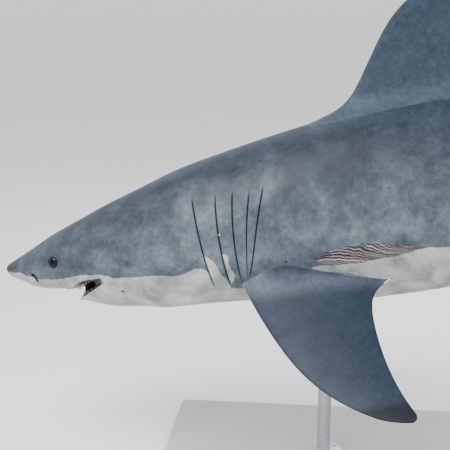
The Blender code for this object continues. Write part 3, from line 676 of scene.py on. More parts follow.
# The body: snout, mouth, jaw, gills, flank and tail as one closed grid
mouthForms = {
    # share of the way through the mouth, width and height of each gum
    "gums": [(0.085, 0.045, 0.0060), (0.915, 0.045, 0.0065)],
    # height, where it rises and where it falls, as shares of that way
    "humps": [(0.036, (0.55, 0.68), (0.86, 0.925)), (0.014, (0.12, 0.22), (0.34, 0.48))],  # tongue, palate
    "groove": 0.003,  # depth of the groove inside each lip
    "evenings": 10, "evenReach": 3.5,  # how often the lips are evened out, and over how many rows
    "deep": 0.85, "deepEnds": (0.86, 1.0),  # how far the throat is drawn in, and where that ends sideways
}


def gullet(t, upper, throat, lower):
    # (1-t)^2 upper + 2t(1-t) throat + t^2 lower
    return (1 - t) ** 2 * upper + 2 * t * (1 - t) * throat + t * t * lower


def mouthLine():
    # upper edge, throat and lower edge of the mouth for every column
    upper = hide(lipB, columnB)
    upper[:, 2] += lipRise(lipB, columnB)
    lower = lowerJaw(hide(lowB, columnB), lowB, columnB)
    lipMiddle = (upper + lower) / 2
    depth = (mouthForms["deep"] * (1 - ease(*mouthForms["deepEnds"], mouthShare)))[:, None]
    deep = np.array([mouth["throat"][0], 0, mouth["throat"][1]])
    return upper, lipMiddle + (deep - lipMiddle) * depth * 2, lower


def mouthInside(t):
    # inside of the mouth, with gums, palate and tongue raised along its own normal
    upper, throat, lower = mouthLine()
    inside = gullet(t[..., None], upper[None], throat[None], lower[None])
    across = np.roll(inside, -1, 1) - np.roll(inside, 1, 1)
    normal = unit(np.cross(across, np.gradient(inside, axis=0)))
    height = sum(high * hill(t, at, wide) for at, wide, high in mouthForms["gums"])
    for edge in (0.018, 0.982):
        height = height - mouthForms["groove"] * hill(t, edge, 0.012)
    for high, rise, fall in mouthForms["humps"]:
        height = height + high * ease(*rise, t) * (1 - ease(*fall, t)) * hill(columnB, 0, 0.8)
    inside = inside + normal * (height * inMouth / fish["length"])[..., None]
    s = lipB[None, :] * (1 - t) + lowB[None, :] * t
    swell = smallForms(s, columnB) * (1 - inMouth) / fish["length"]
    inside += hideNormal(s, columnB) * swell[..., None]
    # where flesh and the painted shade deep in the mouth show; that shade reaches the lips' edges towards the
    # corner
    whole = 1 - ease(0.985, 1.0, mouthShare)
    corner = ease(0.70, 0.90, mouthShare)
    paintedShade = (ease(0.04 - 0.04 * corner, 0.20 - 0.15 * corner, t)
            * (1 - ease(0.80 + 0.15 * corner, 0.96 + 0.04 * corner, t)))
    flesh = ease(0.002, 0.018, t) * (1 - ease(0.982, 0.998, t)) * whole
    return inside, s, {"flesh": flesh, "hollowShade": whole * (0.42 + 0.50 * corner) * paintedShade}


def bodySkin(shell):
    lipGap, jawGap = (lipB[None, :] - snoutS) * fish["length"], (jawS - lowB[None, :]) * fish["length"]
    snout = outerPoints(snoutS, columnB, lipHeight(lipGap, columnB) + smallForms(snoutS, columnB), False)
    snout[..., 2] += lipRise(snoutS, columnB)
    jaw = outerPoints(jawS, columnB, lipHeight(jawGap, columnB) + smallForms(jawS, columnB))
    inward = spread(0, 1, rows["mouthIn"] + 2, (0.06, 0.06, 2.5), (0.94, 0.06, 2.5))[1:-1, None]
    inside, insideS, insideMarks = mouthInside(inward)

    # round off both lips by evening out the rows that cross them
    front = np.concatenate([snout, inside, jaw])
    edges = np.arange(len(front))[:, None]
    jawFrom = len(snout) + rows["mouthIn"]
    near = sum(hill(edges, edge, mouthForms["evenReach"]) for edge in (len(snout) - 1, jawFrom))
    weight = (0.5 * np.clip(near, 0, 1) * inMouth)[..., None]
    for _ in range(mouthForms["evenings"]):
        even = (np.roll(front, 1, 0) + np.roll(front, -1, 0)) / 2
        front[1:-1] += ((even - front) * weight)[1:-1]

    gills = outerPoints(gillS, columnB, gillHeight + smallForms(gillS, columnB))
    flank = outerPoints(flankS, columnB, smallForms(flankS, columnB))
    tail = outerPoints(tailS, tailB, smallForms(tailS, tailB) * (1 - ease(0.6, 0.8, tailS)))
    strips = ((front[:len(snout)], snoutS, {"snout": 1 - ease(0.05, 0.10, snoutS)}),
              (front[len(snout):jawFrom], insideS, insideMarks), (front[jawFrom:], jawS, {}),
              (gills, gillS, {"hollowShade": slitShade}), (flank, flankS, {}))
    index = np.concatenate([addPoints(shell, place(points), {**bodyMarks(s, columnB), **more})
                            for points, s, more in strips])
    tailIndex = addPoints(shell, place(tail), bodyMarks(tailS, tailB))

    grid, faces = gridFaces(index[1:]), []
    keep = np.ones(grid.shape[:2], bool)
    for side in (-1, 1):
        for socket, reach in ((eyeSocket(side), eyes["block"]), (nostrilSocket(side), nostrils["block"])):
            r0, r1, c0, c1 = blockRound(socket["spot"], *reach)
            keep[r0 - 1:r1 - 1, c0:c1] = False
            socketPatch(shell, faces, index, (r0, r1, c0, c1), socket)
    faces.append(grid[keep])

    # from every column of the flank to every other column of the tail
    left, between, first = index[-1, ::2], index[-1, 1::2], tailIndex[0]
    right, second = np.roll(left, -1), np.roll(first, -1)
    for corners in ((left, between, first), (between, second, first), (between, right, second)):
        faces.append(np.stack(corners, -1))
    faces.append(gridFaces(tailIndex))
    snoutPole = addPoints(shell, spotOn(1e-6, 0.0)[None, :], {"tone": 0.02, "snout": 1.0})
    faces.append(fan(index[1], snoutPole[0], False))
    middle = section(np.array([rowsFrom["pole"]]))[3][0]
    tailPole = addPoints(shell, place(np.array([[rowsFrom["pole"], 0, middle]])), {"tone": 0.05})
    faces.append(fan(tailIndex[-1], tailPole[0]))
    closeShell(shell, "body", faces)


# Fins: each is a blade whose root curves out onto the body. In shares of the fish's length:
# front, sweep, bow, curl and hook draw the leading edge, fillet its root; rear, free and lift the free
# rear tip; waist, flick, power and notch the trailing edge; thick, flare and spread the thickness; sunk
# and blend how the root meets the body
plainFin = dict(root=0.0, front=0.0, bow=1.0, curl=0.003, hook=5.0, fillet=0.0, flick=0.0, power=3.0,
                notch=0.0, rounding=0.0, thick=0.060, swellPower=0.5)
smallFin = dict(plainFin, sweep=0.022, fillet=0.006, lift=0.15, flick=0.002, flare=0.003, spread=0.008,
                sunk=0.6, blend=0.002)
tailLobe = dict(plainFin, curl=0.0, hook=6.0, rear=0.9043, free=0.9043, lift=0.0, waist=0.9043, power=1.5,
                thick=0.050, flare=0.0, spread=1.0)
fins = {
    "dorsal": dict(plainFin, root=0.0945, high=0.1165, front=0.3812, sweep=0.0775, curl=0.0440, hook=8.0,
                   fillet=0.0345, rear=0.498, free=0.524, lift=0.07, waist=0.4970, flick=0.0145,
                   thick=0.046, flare=0.010, spread=0.022, sunk=0.13, blend=0.006, rounding=0.04),
    "secondDorsal": dict(smallFin, root=0.0400, high=0.0205, front=0.7380, rear=0.762, free=0.774,
                         waist=0.7635),
    "anal": dict(smallFin, root=0.0370, high=0.0195, front=0.7510, rear=0.774, free=0.786, waist=0.7755),
    "pectoral": dict(plainFin, high=0.1605, front=-0.001, sweep=0.070, bow=1.12, curl=0.0477, hook=5.1,
                     rear=0.095, free=0.137, lift=0.084, waist=0.1137, flick=0.0253, power=3.35,
                     thick=0.050, flare=0.009, spread=0.020, sunk=0.12, blend=0.0045,
                     rounding=0.05, swellPower=2.6),
    "pelvic": dict(plainFin, high=0.0440, sweep=0.027, curl=0.012, hook=4.0, fillet=0.004, rear=0.043,
                   free=0.064, lift=0.22, waist=0.0450, flare=0.004, spread=0.010, sunk=0.27, blend=0.003),
    "caudalUpper": dict(tailLobe, high=0.1550, front=0.8074, sweep=0.180, curl=0.0126, flick=0.098,
                        notch=0.006),
    "caudalLower": dict(tailLobe, high=0.1370, front=0.8045, sweep=0.1317, bow=0.75, flick=0.0345),
}
tailNotch = {"at": 0.787, "wide": 0.022}
blades = {"taper": 0.55, "flareMost": 1.6, "tipInset": 0.9985, "fromNose": 0.62}
pectoralRoot = {"at": (0.262, 0.0715, -0.045), "droop": math.radians(35)}
pelvicRoot = {"at": (0.556, 0.039, -0.0725), "droop": math.radians(38)}
finEdge, finInset = 0.00042, 0.0003  # half thickness at the edges; how far they lie inside the solids
# rings of the fillet at a fin's root; how deep its foot, the ring under it and the innermost ring lie,
# and how far out the ring under it starts
finRoot = {"rings": 8, "footSink": 0.002, "underSink": 0.008, "innerSink": 0.05, "underReach": 1.4}
finCoat = {
    # how much darker than the flank each fin is; tone of a grey fin and of a white side; dark tip in metres
    "deep": {"pectoral": 0.97, "pelvic": 0.4, "dorsal": 0.5}, "deepElsewhere": 0.25,
    "grey": 0.42, "white": -0.12, "tip": 0.03, "noTip": -1.0, "pelvicRear": 0.030,
    # pectoral fins: grey rim below, dark tip above and below, and the white rear edge and free tip above
    "rimBelow": 0.010, "tipAbove": 0.075, "tipBelow": 0.13, "rearEdge": 0.007, "freeTip": (0.080, 0.026),
    "greyAbove": 0.25,
}


def finEdges(fin, u):
    # leading edge: front + sweep u^bow + curl u^hook, less a long fillet at the root.
    # trailing edge: out to the free rear tip, then a falling curve to the waist and the flick at the tip
    v = np.clip(u, 0, 1)
    lead = (fin["front"] + fin["sweep"] * v ** fin["bow"] + fin["curl"] * v ** fin["hook"]
            - fin["fillet"] * np.exp(-v / 0.06))
    trail = fin["waist"] + fin["flick"] * v ** fin["power"]
    if fin["lift"]:
        atLift = fin["waist"] + fin["flick"] * fin["lift"] ** fin["power"]
        below = fin["rear"] + (fin["free"] - fin["rear"]) * v / fin["lift"]
        above = trail + (fin["free"] - atLift) * np.exp(-(v - fin["lift"]) / (0.75 * fin["lift"]))
        trail = np.where(v < fin["lift"], below, above)
    if fin["rounding"]:
        nearTip = np.clip((v - 1 + fin["rounding"]) / fin["rounding"], 0, 0.99)
        nose = lead + (trail - lead) * blades["fromNose"]
        lead, trail = (nose + (edge - nose) * np.sqrt(1 - nearTip**2) for edge in (lead, trail))
    trail = trail - fin["notch"] * hill(v, tailNotch["at"], tailNotch["wide"])
    return lead + finInset, trail - finInset


def bladeSection(turn):
    # one turn round a blade: chordwise share (1 - cos)/2 and the thickness of a smooth foil there
    c = 0.5 * (1 - np.cos(turn))
    foil = 2.969 * np.sqrt(c) - 1.26 * c - 3.516 * c**2 + 2.843 * c**3 - 1.036 * c**4
    return c, np.maximum(foil, 0)


def finPoints(fin, u, turn, point):
    # u up the blade and turn round it, both arrays of one shape, to level points. Half thickness:
    # chord thick (1 - taper u) foil, plus the edge's own and a flare that dies away over the spread
    lead, trail = finEdges(fin, u)
    c, foil = bladeSection(turn)
    chord = trail - lead
    swell = fin["flare"] * np.clip(1 - u * fin["high"] / fin["spread"], 0, blades["flareMost"]) ** 2
    across = (chord * fin["thick"] * (1 - blades["taper"] * np.clip(u, 0, 1)) * foil + finEdge
              + swell * np.abs(np.sin(turn)) ** fin["swellPower"])
    high = fin["root"] + u * fin["high"] * blades["tipInset"]
    side = np.sign(np.round(np.sin(turn), 9))
    return point(*np.broadcast_arrays(lead + chord * c, high, across * side))


def upright(sign=1):
    # x along the body, the height h straight up or down, the thickness a across
    return lambda x, h, a: np.stack([x, a, sign * h], -1)


def sideways(root, side):
    # x along the body, the height h out and down by the droop, the thickness a square to it
    out, down = math.cos(root["droop"]), math.sin(root["droop"])
    x0, y0, z0 = root["at"]
    return lambda x, h, a: np.stack([x0 + x, side * (y0 + h * out + a * down), z0 - h * down + a * out], -1)


def finTone(kind, u, turn, fin):
    # tone, tip and blade marks: which side is grey or white, how far the dark tip reaches, and how
    # much darker than the flank the blade is
    length = fish["length"]
    lead, trail = finEdges(fin, u)
    c = bladeSection(turn)[0]
    fromLead, fromTrail = c * (trail - lead) * length, (1 - c) * (trail - lead) * length
    topSide = np.sin(turn) >= -1e-9
    toTip = (1 - u) * fin["high"] * length
    white, tip = finCoat["white"] + 0 * u, finCoat["noTip"] + 0 * u
    deep = finCoat["deep"].get(kind, finCoat["deepElsewhere"])
    if kind == "pectoral":
        at, reach = finCoat["freeTip"]
        under = finCoat["rimBelow"] - np.minimum(fromLead, fromTrail + 0.004)
        freeTip = np.maximum((fromTrail - finCoat["rearEdge"]) * 8, (np.abs(u - at) - reach) * 3.0)
        tone = np.where(topSide, np.minimum(finCoat["greyAbove"], freeTip), under)
        tip = np.where(topSide, finCoat["tipAbove"] - toTip, finCoat["tipBelow"] - toTip)
        # the root darkens towards its rear: the fin's own dark, with painted shade of the hollow there
        deep = deep * np.maximum(ease(-0.06, 0.16, u), 0.60 * ease(0.12, 0.36, c)) * (0.85 + 0.15 * c)
    elif kind == "pelvic":
        tone = np.where(topSide, np.minimum(fromTrail - finCoat["pelvicRear"], 0.12), white)
    elif kind == "anal":
        tone = white
    else:
        tone, tip = finCoat["grey"] + 0 * u, finCoat["tip"] - toTip
        deep = deep * (u if kind == "dorsal" else 1)
    return {"tone": tone, "tip": tip, "blade": deep + 0 * tone}


def finSkin(shell, label, kind, point, steps, around):
    fin, turn = fins[kind], allRound(2 * around)
    # where each line up the blade leaves the body
    fine = np.linspace(-fin["sunk"], 1, 500)
    outside = outsideness(finPoints(fin, fine[:, None], turn[None, :], point))
    first = np.maximum((outside >= 1).argmax(0), 1)
    column = np.arange(len(turn))
    o0, o1 = outside[first - 1, column], outside[first, column]
    share = np.clip((1 - o0) / np.maximum(o1 - o0, 1e-9), 0, 1)
    u0 = fine[first - 1] + (fine[first] - fine[first - 1]) * share
    # there, with a point out on the body and a point up the blade
    start = finPoints(fin, u0, turn, point)
    uUp = u0 + fin["blend"] / fin["high"]
    upPoint = finPoints(fin, uUp, turn, point)
    ahead = -np.cos(turn) ** 9
    aside = np.sqrt(np.maximum(1 - ahead**2, 0)) * np.sign(np.round(np.sin(turn), 9))
    zero = 0 * turn
    way = point(ahead, zero, aside) - point(zero, zero, zero)
    foot = ontoHide(start + way * fin["blend"], finRoot["footSink"])
    # the fillet: start + (foot - start) (1 - sin q) + (up - start) (1 - cos q), q from 0 to a quarter turn
    mix = np.linspace(0, 1, finRoot["rings"])[:, None]
    quarter = mix[..., None] * np.pi / 2
    fillet = start + (foot - start) * (1 - np.sin(quarter)) + (upPoint - start) * (1 - np.cos(quarter))
    shares = spread(0, 1, steps, (0, 0.1, 1.5), (1, 0.06, 3))[1:, None]
    u = uUp[None, :] + (1 - uUp[None, :]) * shares
    blade = finPoints(fin, u, turn[None, :], point)
    # the fin's own tone sets in low on the fillet
    bodyTone = bodyMarks(foot[:, 0], angleOf(foot))["tone"]
    marks = finTone(kind, uUp, turn, fin)
    early = mix ** 0.25
    # painted shade: a dark crescent in the hollow behind the root of each pectoral fin
    c = bladeSection(turn)[0]
    rootShade = ease(0.14, 0.34, c) * (1 - ease(0.88, 0.98, c)) * (kind == "pectoral")
    rootShade = rootShade * ease(0.05, 0.45, mix) * (1 - 0.4 * mix)
    filletMarks = {"tone": bodyTone * (1 - early) + marks["tone"] * early,
                   "tip": marks["tip"] * mix - (1 - mix), "blade": np.maximum(mix * marks["blade"], rootShade)}
    # the fillet runs on a little under the body, so that it meets the body at the body's own slope
    under = ontoHide(start + way * fin["blend"] * finRoot["underReach"], finRoot["underSink"])
    inner = ontoHide(foot + (start.mean(0) - foot) * 0.5, finRoot["innerSink"])
    parts = [(inner[None], {"tone": bodyTone}), (under[None], {"tone": bodyTone}), (fillet, filletMarks),
             (blade, finTone(kind, u, turn[None, :] + 0 * u, fin))]
    index = np.concatenate([addPoints(shell, place(points), own) for points, own in parts])
    bottom = addPoints(shell, place(inner.mean(0))[None, :], {"tone": 0.1})
    top = addPoints(shell, place(blade[-1].mean(0))[None, :], {"tone": 0.3, "tip": 1.0, "blade": 0.5})
    closeShell(shell, label, [gridFaces(index), fan(index[0], bottom[0], False), fan(index[-1], top[0])])


def tailFinSkin(shell, steps, around):
    # both lobes as one blade from the lower tip to the upper tip, through the end of the stock
    turn = allRound(2 * around)
    lower, upper = fins["caudalLower"], fins["caudalUpper"]
    share = spread(-1, 1, steps, (-1, 0.06, 3), (tailNotch["at"], 0.05, 2.5), (1, 0.05, 3))[:, None]
    lobes = [finPoints(fin, np.abs(share), turn[None, :], upright(sign))
             for fin, sign in ((lower, -1), (upper, 1))]
    points = np.where((share < 0)[..., None], *lobes)
    toTip = np.where(share < 0, (1 + share) * lower["high"], (1 - share) * upper["high"]) * fish["length"]
    marks = {"tone": 0.34, "tip": 0.04 - toTip + 0 * turn, "blade": 0.35}
    endMarks = {"tone": 0.28, "tip": 1.0, "blade": 0.3}
    faces = tube(shell, place(points), place(points[[0, -1]].mean(1)), marks, endMarks)
    closeShell(shell, "tail fin", faces)


# Materials. The helpers add nodes to the open tree, and take colours by their names in its dictionary
canvas = {}


def openMaterial(name, colours):
    # a new material to draw on; every pattern starts from Object coordinates
    material = bpy.data.materials.new(name)
    material.use_nodes = True
    canvas.update(material=material, tree=material.node_tree, colours=colours)
    canvas["here"] = add("TexCoord").outputs["Object"]


def closeMaterial(sockets):
    # the open material, with these on its shader's sockets
    wire(canvas["tree"].nodes["Principled BSDF"], sockets)
    return canvas["material"]


def wire(node, sockets):
    # sets a node's inputs; a value that is itself a socket becomes a link
    for key, value in sockets.items():
        value = canvas["colours"][value] if isinstance(value, str) else value
        if isinstance(value, bpy.types.NodeSocket):
            canvas["tree"].links.new(value, node.inputs[key])
        else:
            colour = node.inputs[key].type == "RGBA"
            node.inputs[key].default_value = (*value, 1) if colour else value


def add(kind, sockets=None, **settings):
    # a node of the open tree, with its input values and its settings
    node = canvas["tree"].nodes.new("ShaderNode" + kind)
    for key, value in settings.items():
        setattr(node, key, value)
    wire(node, sockets or {})
    return node


def maths(operation, *values, clamp=False):
    return add("Math", dict(enumerate(values)), operation=operation, use_clamp=clamp).outputs[0]


def plus(total, *others):
    for other in others:
        total = maths("ADD", total, other)
    return total


def times(total, *others):
    for other in others:
        total = maths("MULTIPLY", total, other)
    return total


def scaled(value, by, more):
    # value * by + more
    return maths("MULTIPLY_ADD", value, by, more)


def ramp(value, low, high, toLow=0.0, toHigh=1.0, kind="SMOOTHSTEP"):
    sockets = {"Value": value, "From Min": low, "From Max": high, "To Min": toLow, "To Max": toHigh}
    return add("MapRange", sockets, interpolation_type=kind).outputs[0]


def noise(scale, detail=4.0, rough=0.55, warp=0.0, at=None):
    sockets = {"Vector": at or canvas["here"], "Scale": scale, "Detail": detail, "Roughness": rough}
    return add("TexNoise", {**sockets, "Distortion": warp}).outputs[0]


def cells(scale):
    # distance to the nearest of many scattered points
    sockets = {"Vector": canvas["here"], "Scale": scale, "Randomness": 1.0}
    return add("TexVoronoi", sockets).outputs["Distance"]


def blend(share, a, b, kind="MIX"):
    # colour a turned towards colour b; 0, 6 and 7 are the Mix node's inputs for share and colours
    return add("Mix", {0: share, 6: a, 7: b}, data_type="RGBA", blend_type=kind).outputs[2]


def marked(*names):
    # the marks that the mesh carries
    return [add("Attribute", attribute_name=name).outputs["Fac"] for name in names]


def bumps(*layers):
    # layers of (height, distance in metres, strength), each over the one before
    under = {}
    for height, distance, strength in layers:
        bump = add("Bump", {"Height": height, "Distance": distance, "Strength": strength, **under})
        under = {"Normal": bump.outputs[0]}
    return under["Normal"]


hideColours = {
    "back": (0.041, 0.059, 0.082), "flank": (0.165, 0.206, 0.243),
    "finTop": (0.009, 0.018, 0.034), "white": (0.74, 0.76, 0.74), "whiteShade": (0.52, 0.56, 0.57),
    "tip": (0.005, 0.008, 0.014), "hollowShadeColour": (0.008, 0.018, 0.042), "scratch": (0.26, 0.30, 0.33),
    "flesh": (0.175, 0.103, 0.103), "fleshDeep": (0.080, 0.043, 0.050), "speck": (0.014, 0.018, 0.027),
    "scarRaw": (0.150, 0.118, 0.128), "scarPale": (0.66, 0.56, 0.51), "scarDark": (0.030, 0.018, 0.026),
}
# fine mottling of the grey: which noise, from, to, and how much lighter or darker it makes the hide
mottling = [("patchy", 0.46, 0.74, 1.20), ("mottled", 0.46, 0.66, 1.28), ("patchy", 0.46, 0.30, 0.84),
            ("mottled", 0.46, 0.32, 0.80), ("fine", 0.46, 0.34, 0.76)]
# pale scratches: length and width in metres; turn of each run, and the cloudiness that it starts from
scratches = {"size": (0.09, 0.0034, 0.0034), "lines": [((0.0, 0.6, 0.2), 0.58), ((0.2, -0.9, 0.1), 0.60)]}


def scarStreaks():
    # how strongly the band, its dark rake marks and its pale ridges show. Each mark starts at the top
    # edge and runs back as it drops: along - drop (lean0 + lean1 drop) stays the same down its length
    along, above, below = marked("scarAlong", "scarAbove", "scarBelow")
    height = maths("MAXIMUM", plus(above, below), 0.012)
    drop = maths("DIVIDE", below, height, clamp=True)
    run = maths("SUBTRACT", along, times(drop, scaled(drop, scar["lean"][1], scar["lean"][0])))
    phase = plus(scaled(run, 1 / scar["spacing"], times(noise(7.0, 2), 5.0)),
                 times(noise(24.0, 4, 0.6), 1.9), times(noise(110.0, 3, 0.6), 0.45))
    saw, number = maths("FRACT", phase), maths("FLOOR", phase)
    # every mark has a width, a depth and a length of its own, drawn from its number
    wide, deep, long = (add("TexWhiteNoise", {"W": plus(number, k)}, noise_dimensions="1D").outputs["Value"]
                        for k in (0.3, 40.3, 80.3))
    ragged = scaled(noise(80.0, 3), 0.014, -0.007)
    notch = times(saw, scaled(wide, -0.020, -0.002))
    top = ramp(plus(notch, below, ragged), -0.004, 0.0)
    band = times(top, ramp(plus(above, ragged), -0.001, 0.003))
    patch = noise(40.0, 3, 0.6)
    far = scaled(wide, 0.30, 0.22)
    ends = scaled(long, 0.75, 0.35)
    groove = times(ramp(saw, 0.0, 0.12), ramp(saw, far, plus(far, 0.20), 1.0, 0.0),
                   ramp(drop, ends, plus(ends, 0.15), 1.0, 0.25), ramp(patch, 0.34, 0.50, 0.35, 1.0), band)
    ridge = times(ramp(saw, plus(far, 0.12), plus(far, 0.24)), ramp(saw, 0.78, 0.96, 1.0, 0.0))
    fresh = times(ramp(scaled(along, -0.9, patch), 0.10, 0.42, 0.25, 1.0), ramp(deep, 0.1, 0.7, 0.25, 1.0))
    return band, groove, times(ridge, fresh, band)


def hideMaterial():
    openMaterial("sharkHide", hideColours)
    tone, tip, blade, head = marked("tone", "tip", "blade", "head")
    hollowShade, flesh, snout = marked("hollowShade", "flesh", "snout")
    broad, grain = noise(2.2, 3), noise(520.0, 2, 0.6)
    grains = {"patchy": noise(11.0, 5, 0.62), "mottled": noise(42.0, 5, 0.68), "fine": noise(130.0, 4, 0.65)}
    patchy, mottled, fine = grains.values()

    # ragged edge between grey and white
    wander = scaled(noise(9.0, 5, 0.6, 0.3), 0.022, -0.011)
    chips = scaled(noise(60.0, 4, 0.6), 0.012, -0.006)
    grey = ramp(plus(tone, wander, chips), -0.0022, 0.0022)

    # grey deepens towards the back, mottled finely all over
    depth = plus(tone, scaled(broad, 0.16, -0.08))
    colour = blend(ramp(depth, 0.10, 0.42), "flank", "back")
    colour = blend(times(head, 0.62), colour, "back")
    # blade: the fins' own darker grey, with painted shade in the hollows behind the pectoral roots
    colour = blend(blade, colour, "finTop")
    for name, low, high, gain in mottling:
        colour = blend(ramp(grains[name], low, high), colour, (gain, gain, gain), "MULTIPLY")
    white = blend(ramp(patchy, 0.40, 0.75, 0.0, 0.5), "white", "whiteShade")
    white = blend(ramp(mottled, 0.30, 0.42, 0.35, 0.0), white, "whiteShade")
    colour = blend(grey, white, colour)

    # dark fin tips, scattered dark flecks and thin pale scratches
    colour = blend(ramp(plus(tip, times(wander, 2.0)), -0.020, 0.020, 0.0, 0.92), colour, "tip")
    fleck = times(ramp(cells(34.0), 0.05, 0.12, 0.55, 0.0), ramp(patchy, 0.53, 0.62))
    colour = blend(times(fleck, grey), colour, "speck")
    for turn, start in scratches["lines"]:
        sockets = {"Vector": canvas["here"], "Rotation": turn, "Scale": scratches["size"]}
        stretched = add("Mapping", sockets, vector_type="TEXTURE").outputs[0]
        lines = ramp(noise(1.0, 2, 0.5, at=stretched), 0.69, 0.75)
        lines = times(lines, ramp(broad, start, start + 0.07, 0.0, 0.5), maths("SUBTRACT", 1.0, blade), grey)
        colour = blend(lines, colour, "scratch")
    colour = blend(ramp(grain, 0.35, 0.7, 0.0, 0.12), colour, "tip")

    band, groove, ridge = scarStreaks()
    colour = blend(times(band, 0.82), colour, "scarRaw")
    colour = blend(times(groove, 0.92), colour, "scarDark")
    colour = blend(times(ridge, 0.90), colour, "scarPale")
    for s, angle, radius, shade in specks:
        spot = tuple(spotOn(s, -math.radians(angle)))
        gap = add("VectorMath", {0: canvas["here"], 1: spot}, operation="DISTANCE").outputs["Value"]
        near = ramp(scaled(fine, 0.006, gap), radius + 0.001, radius + 0.005, 0.9, 0.0)
        colour = blend(near, colour, shade)

    # painted shade inside the mouth, in the slits and nostrils and where the lids meet the eyes; sensory
    # pores, crowded on the snout, as dark pits in the same colour
    colour = blend(flesh, colour, blend(patchy, "flesh", "fleshDeep"))
    colour = blend(times(hollowShade, 0.95), colour, "hollowShadeColour")
    pore = times(ramp(cells(95.0), 0.10, 0.20, 1.0, 0.0), snout, ramp(patchy, 0.44, 0.58))
    colour = blend(times(pore, 0.8), colour, "hollowShadeColour")

    rough = ramp(mottled, 0.3, 0.7, 0.38, 0.54, "LINEAR")
    normal = bumps((patchy, 0.004, 0.30), (mottled, 0.0016, 0.40), (fine, 0.0007, 0.45),
                   (grain, 0.0003, 0.45), (maths("SUBTRACT", ridge, groove), 0.0035, 0.9),
                   (times(pore, -1.0), 0.0012, 0.8))
    return closeMaterial({"Base Color": colour, "Roughness": maths("SUBTRACT", rough, times(flesh, 0.15)),
                          "Specular IOR Level": 0.14, "Normal": normal})


# Build the skin
print("skin: building")
skinShell = newShell()
bodySkin(skinShell)
finSkin(skinShell, "dorsal fin", "dorsal", upright(), 52, 22)
finSkin(skinShell, "second dorsal fin", "secondDorsal", upright(), 22, 12)
finSkin(skinShell, "anal fin", "anal", upright(-1), 22, 12)
for side in (-1, 1):
    finSkin(skinShell, "pectoral fin", "pectoral", sideways(pectoralRoot, side), 56, 22)
    finSkin(skinShell, "pelvic fin", "pelvic", sideways(pelvicRoot, side), 26, 14)
tailFinSkin(skinShell, 110, 16)
skin = makePiece("sharkSkin", skinShell, hideMaterial())
fleshNodes = [n for n in frame["nodes"] if not n.startswith(("stand_", "eye_"))]
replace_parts(skin, *fleshNodes)
print("skin: %d points, %d faces" % (len(skin.data.vertices), len(skin.data.polygons)))


# Eyes
eyeColours = {"iris": (0.003, 0.006, 0.014), "irisPale": (0.006, 0.012, 0.027),
              "pupil": (0.002, 0.002, 0.003), "rim": (0.010, 0.012, 0.016)}


def eyeMaterial():
    openMaterial("sharkEye", eyeColours)
    radial = marked("fromCentre")[0]
    fibres = noise(700.0, 3, 0.6, 0.5)
    colour = blend(ramp(radial, 0.50, 0.56, 1.0, 0.0), blend(fibres, "iris", "irisPale"), "pupil")
    colour = blend(ramp(radial, 0.86, 0.97), colour, "rim")
    return closeMaterial({"Base Color": colour, "Roughness": ramp(fibres, 0.2, 0.8, 0.05, 0.12),
                          "Specular IOR Level": 0.10, "Coat Weight": 0.16, "Coat Roughness": 0.04})


def eyeball(name, node, side, material):
    # a flattened ball on the socket's axis: radius sin(v) round it, depth cos(v) along it
    socket = eyeSocket(side)
    out, long, short = socket["axes"]
    v = np.linspace(0, np.pi, 33)[1:-1, None]
    h = allRound(56)[None, :]
    r, depth = eyes["radius"], eyes["depth"]
    ring = r * np.sin(v) * np.cos(h), r * np.sin(v) * np.sin(h), depth * np.cos(v) + 0 * h
    points = socket["centre"] + sum(k[..., None] * axis for k, axis in zip(ring, (long, short, out)))
    poles = [socket["centre"] + out * depth * end for end in (1, -1)]
    shell = newShell()
    closeShell(shell, "eye", tube(shell, points, poles, {"fromCentre": np.sin(v) + 0 * h}))
    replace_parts(makePiece(name, shell, material), node)


eyeGloss = eyeMaterial()
eyeball("eyeLeft", "eye_left", -1, eyeGloss)
eyeball("eyeRight", "eye_right", 1, eyeGloss)
print("eyes: done")


# Teeth
teeth = {
    # share of the way through the mouth, count along the gum, reach in degrees, height, width,
    # lean outwards, thickness; a second row lies behind each first one
    "upper": [dict(at=0.085, count=24, reach=78, high=0.0046, wide=0.56, lean=-0.30, thick=0.18),
              dict(at=0.15, count=21, reach=64, high=0.0040, wide=0.42, lean=-0.85, thick=0.18)],
    "lower": [dict(at=0.930, count=22, reach=78, high=0.0052, wide=0.36, lean=-0.05, thick=0.22),
              dict(at=0.85, count=19, reach=62, high=0.0040, wide=0.32, lean=-0.65, thick=0.22)],
    "rings": 17, "around": 12, "buried": 0.42, "jawMiddle": 0.115,
    # how much smaller and narrower they are at the corners, how much they differ, their saw edge and hook
    "smaller": 0.52, "narrower": 0.12, "differ": 0.05, "saw": 0.06, "hook": -0.10,
}
toothColours = {"root": (0.46, 0.38, 0.30), "enamel": (0.72, 0.69, 0.62), "stain": (0.55, 0.49, 0.41)}


def toothMaterial():
    openMaterial("sharkTooth", toothColours)
    rise = marked("rise")[0]
    streaks = noise(260.0, 3)
    colour = blend(ramp(rise, 0.05, 0.45), "root", "enamel")
    colour = blend(ramp(streaks, 0.4, 0.8, 0.0, 0.35), colour, "stain")
    return closeMaterial({"Base Color": colour, "Roughness": ramp(streaks, 0.2, 0.8, 0.16, 0.32),
                          "Normal": bumps((streaks, 0.0003, 0.4))})


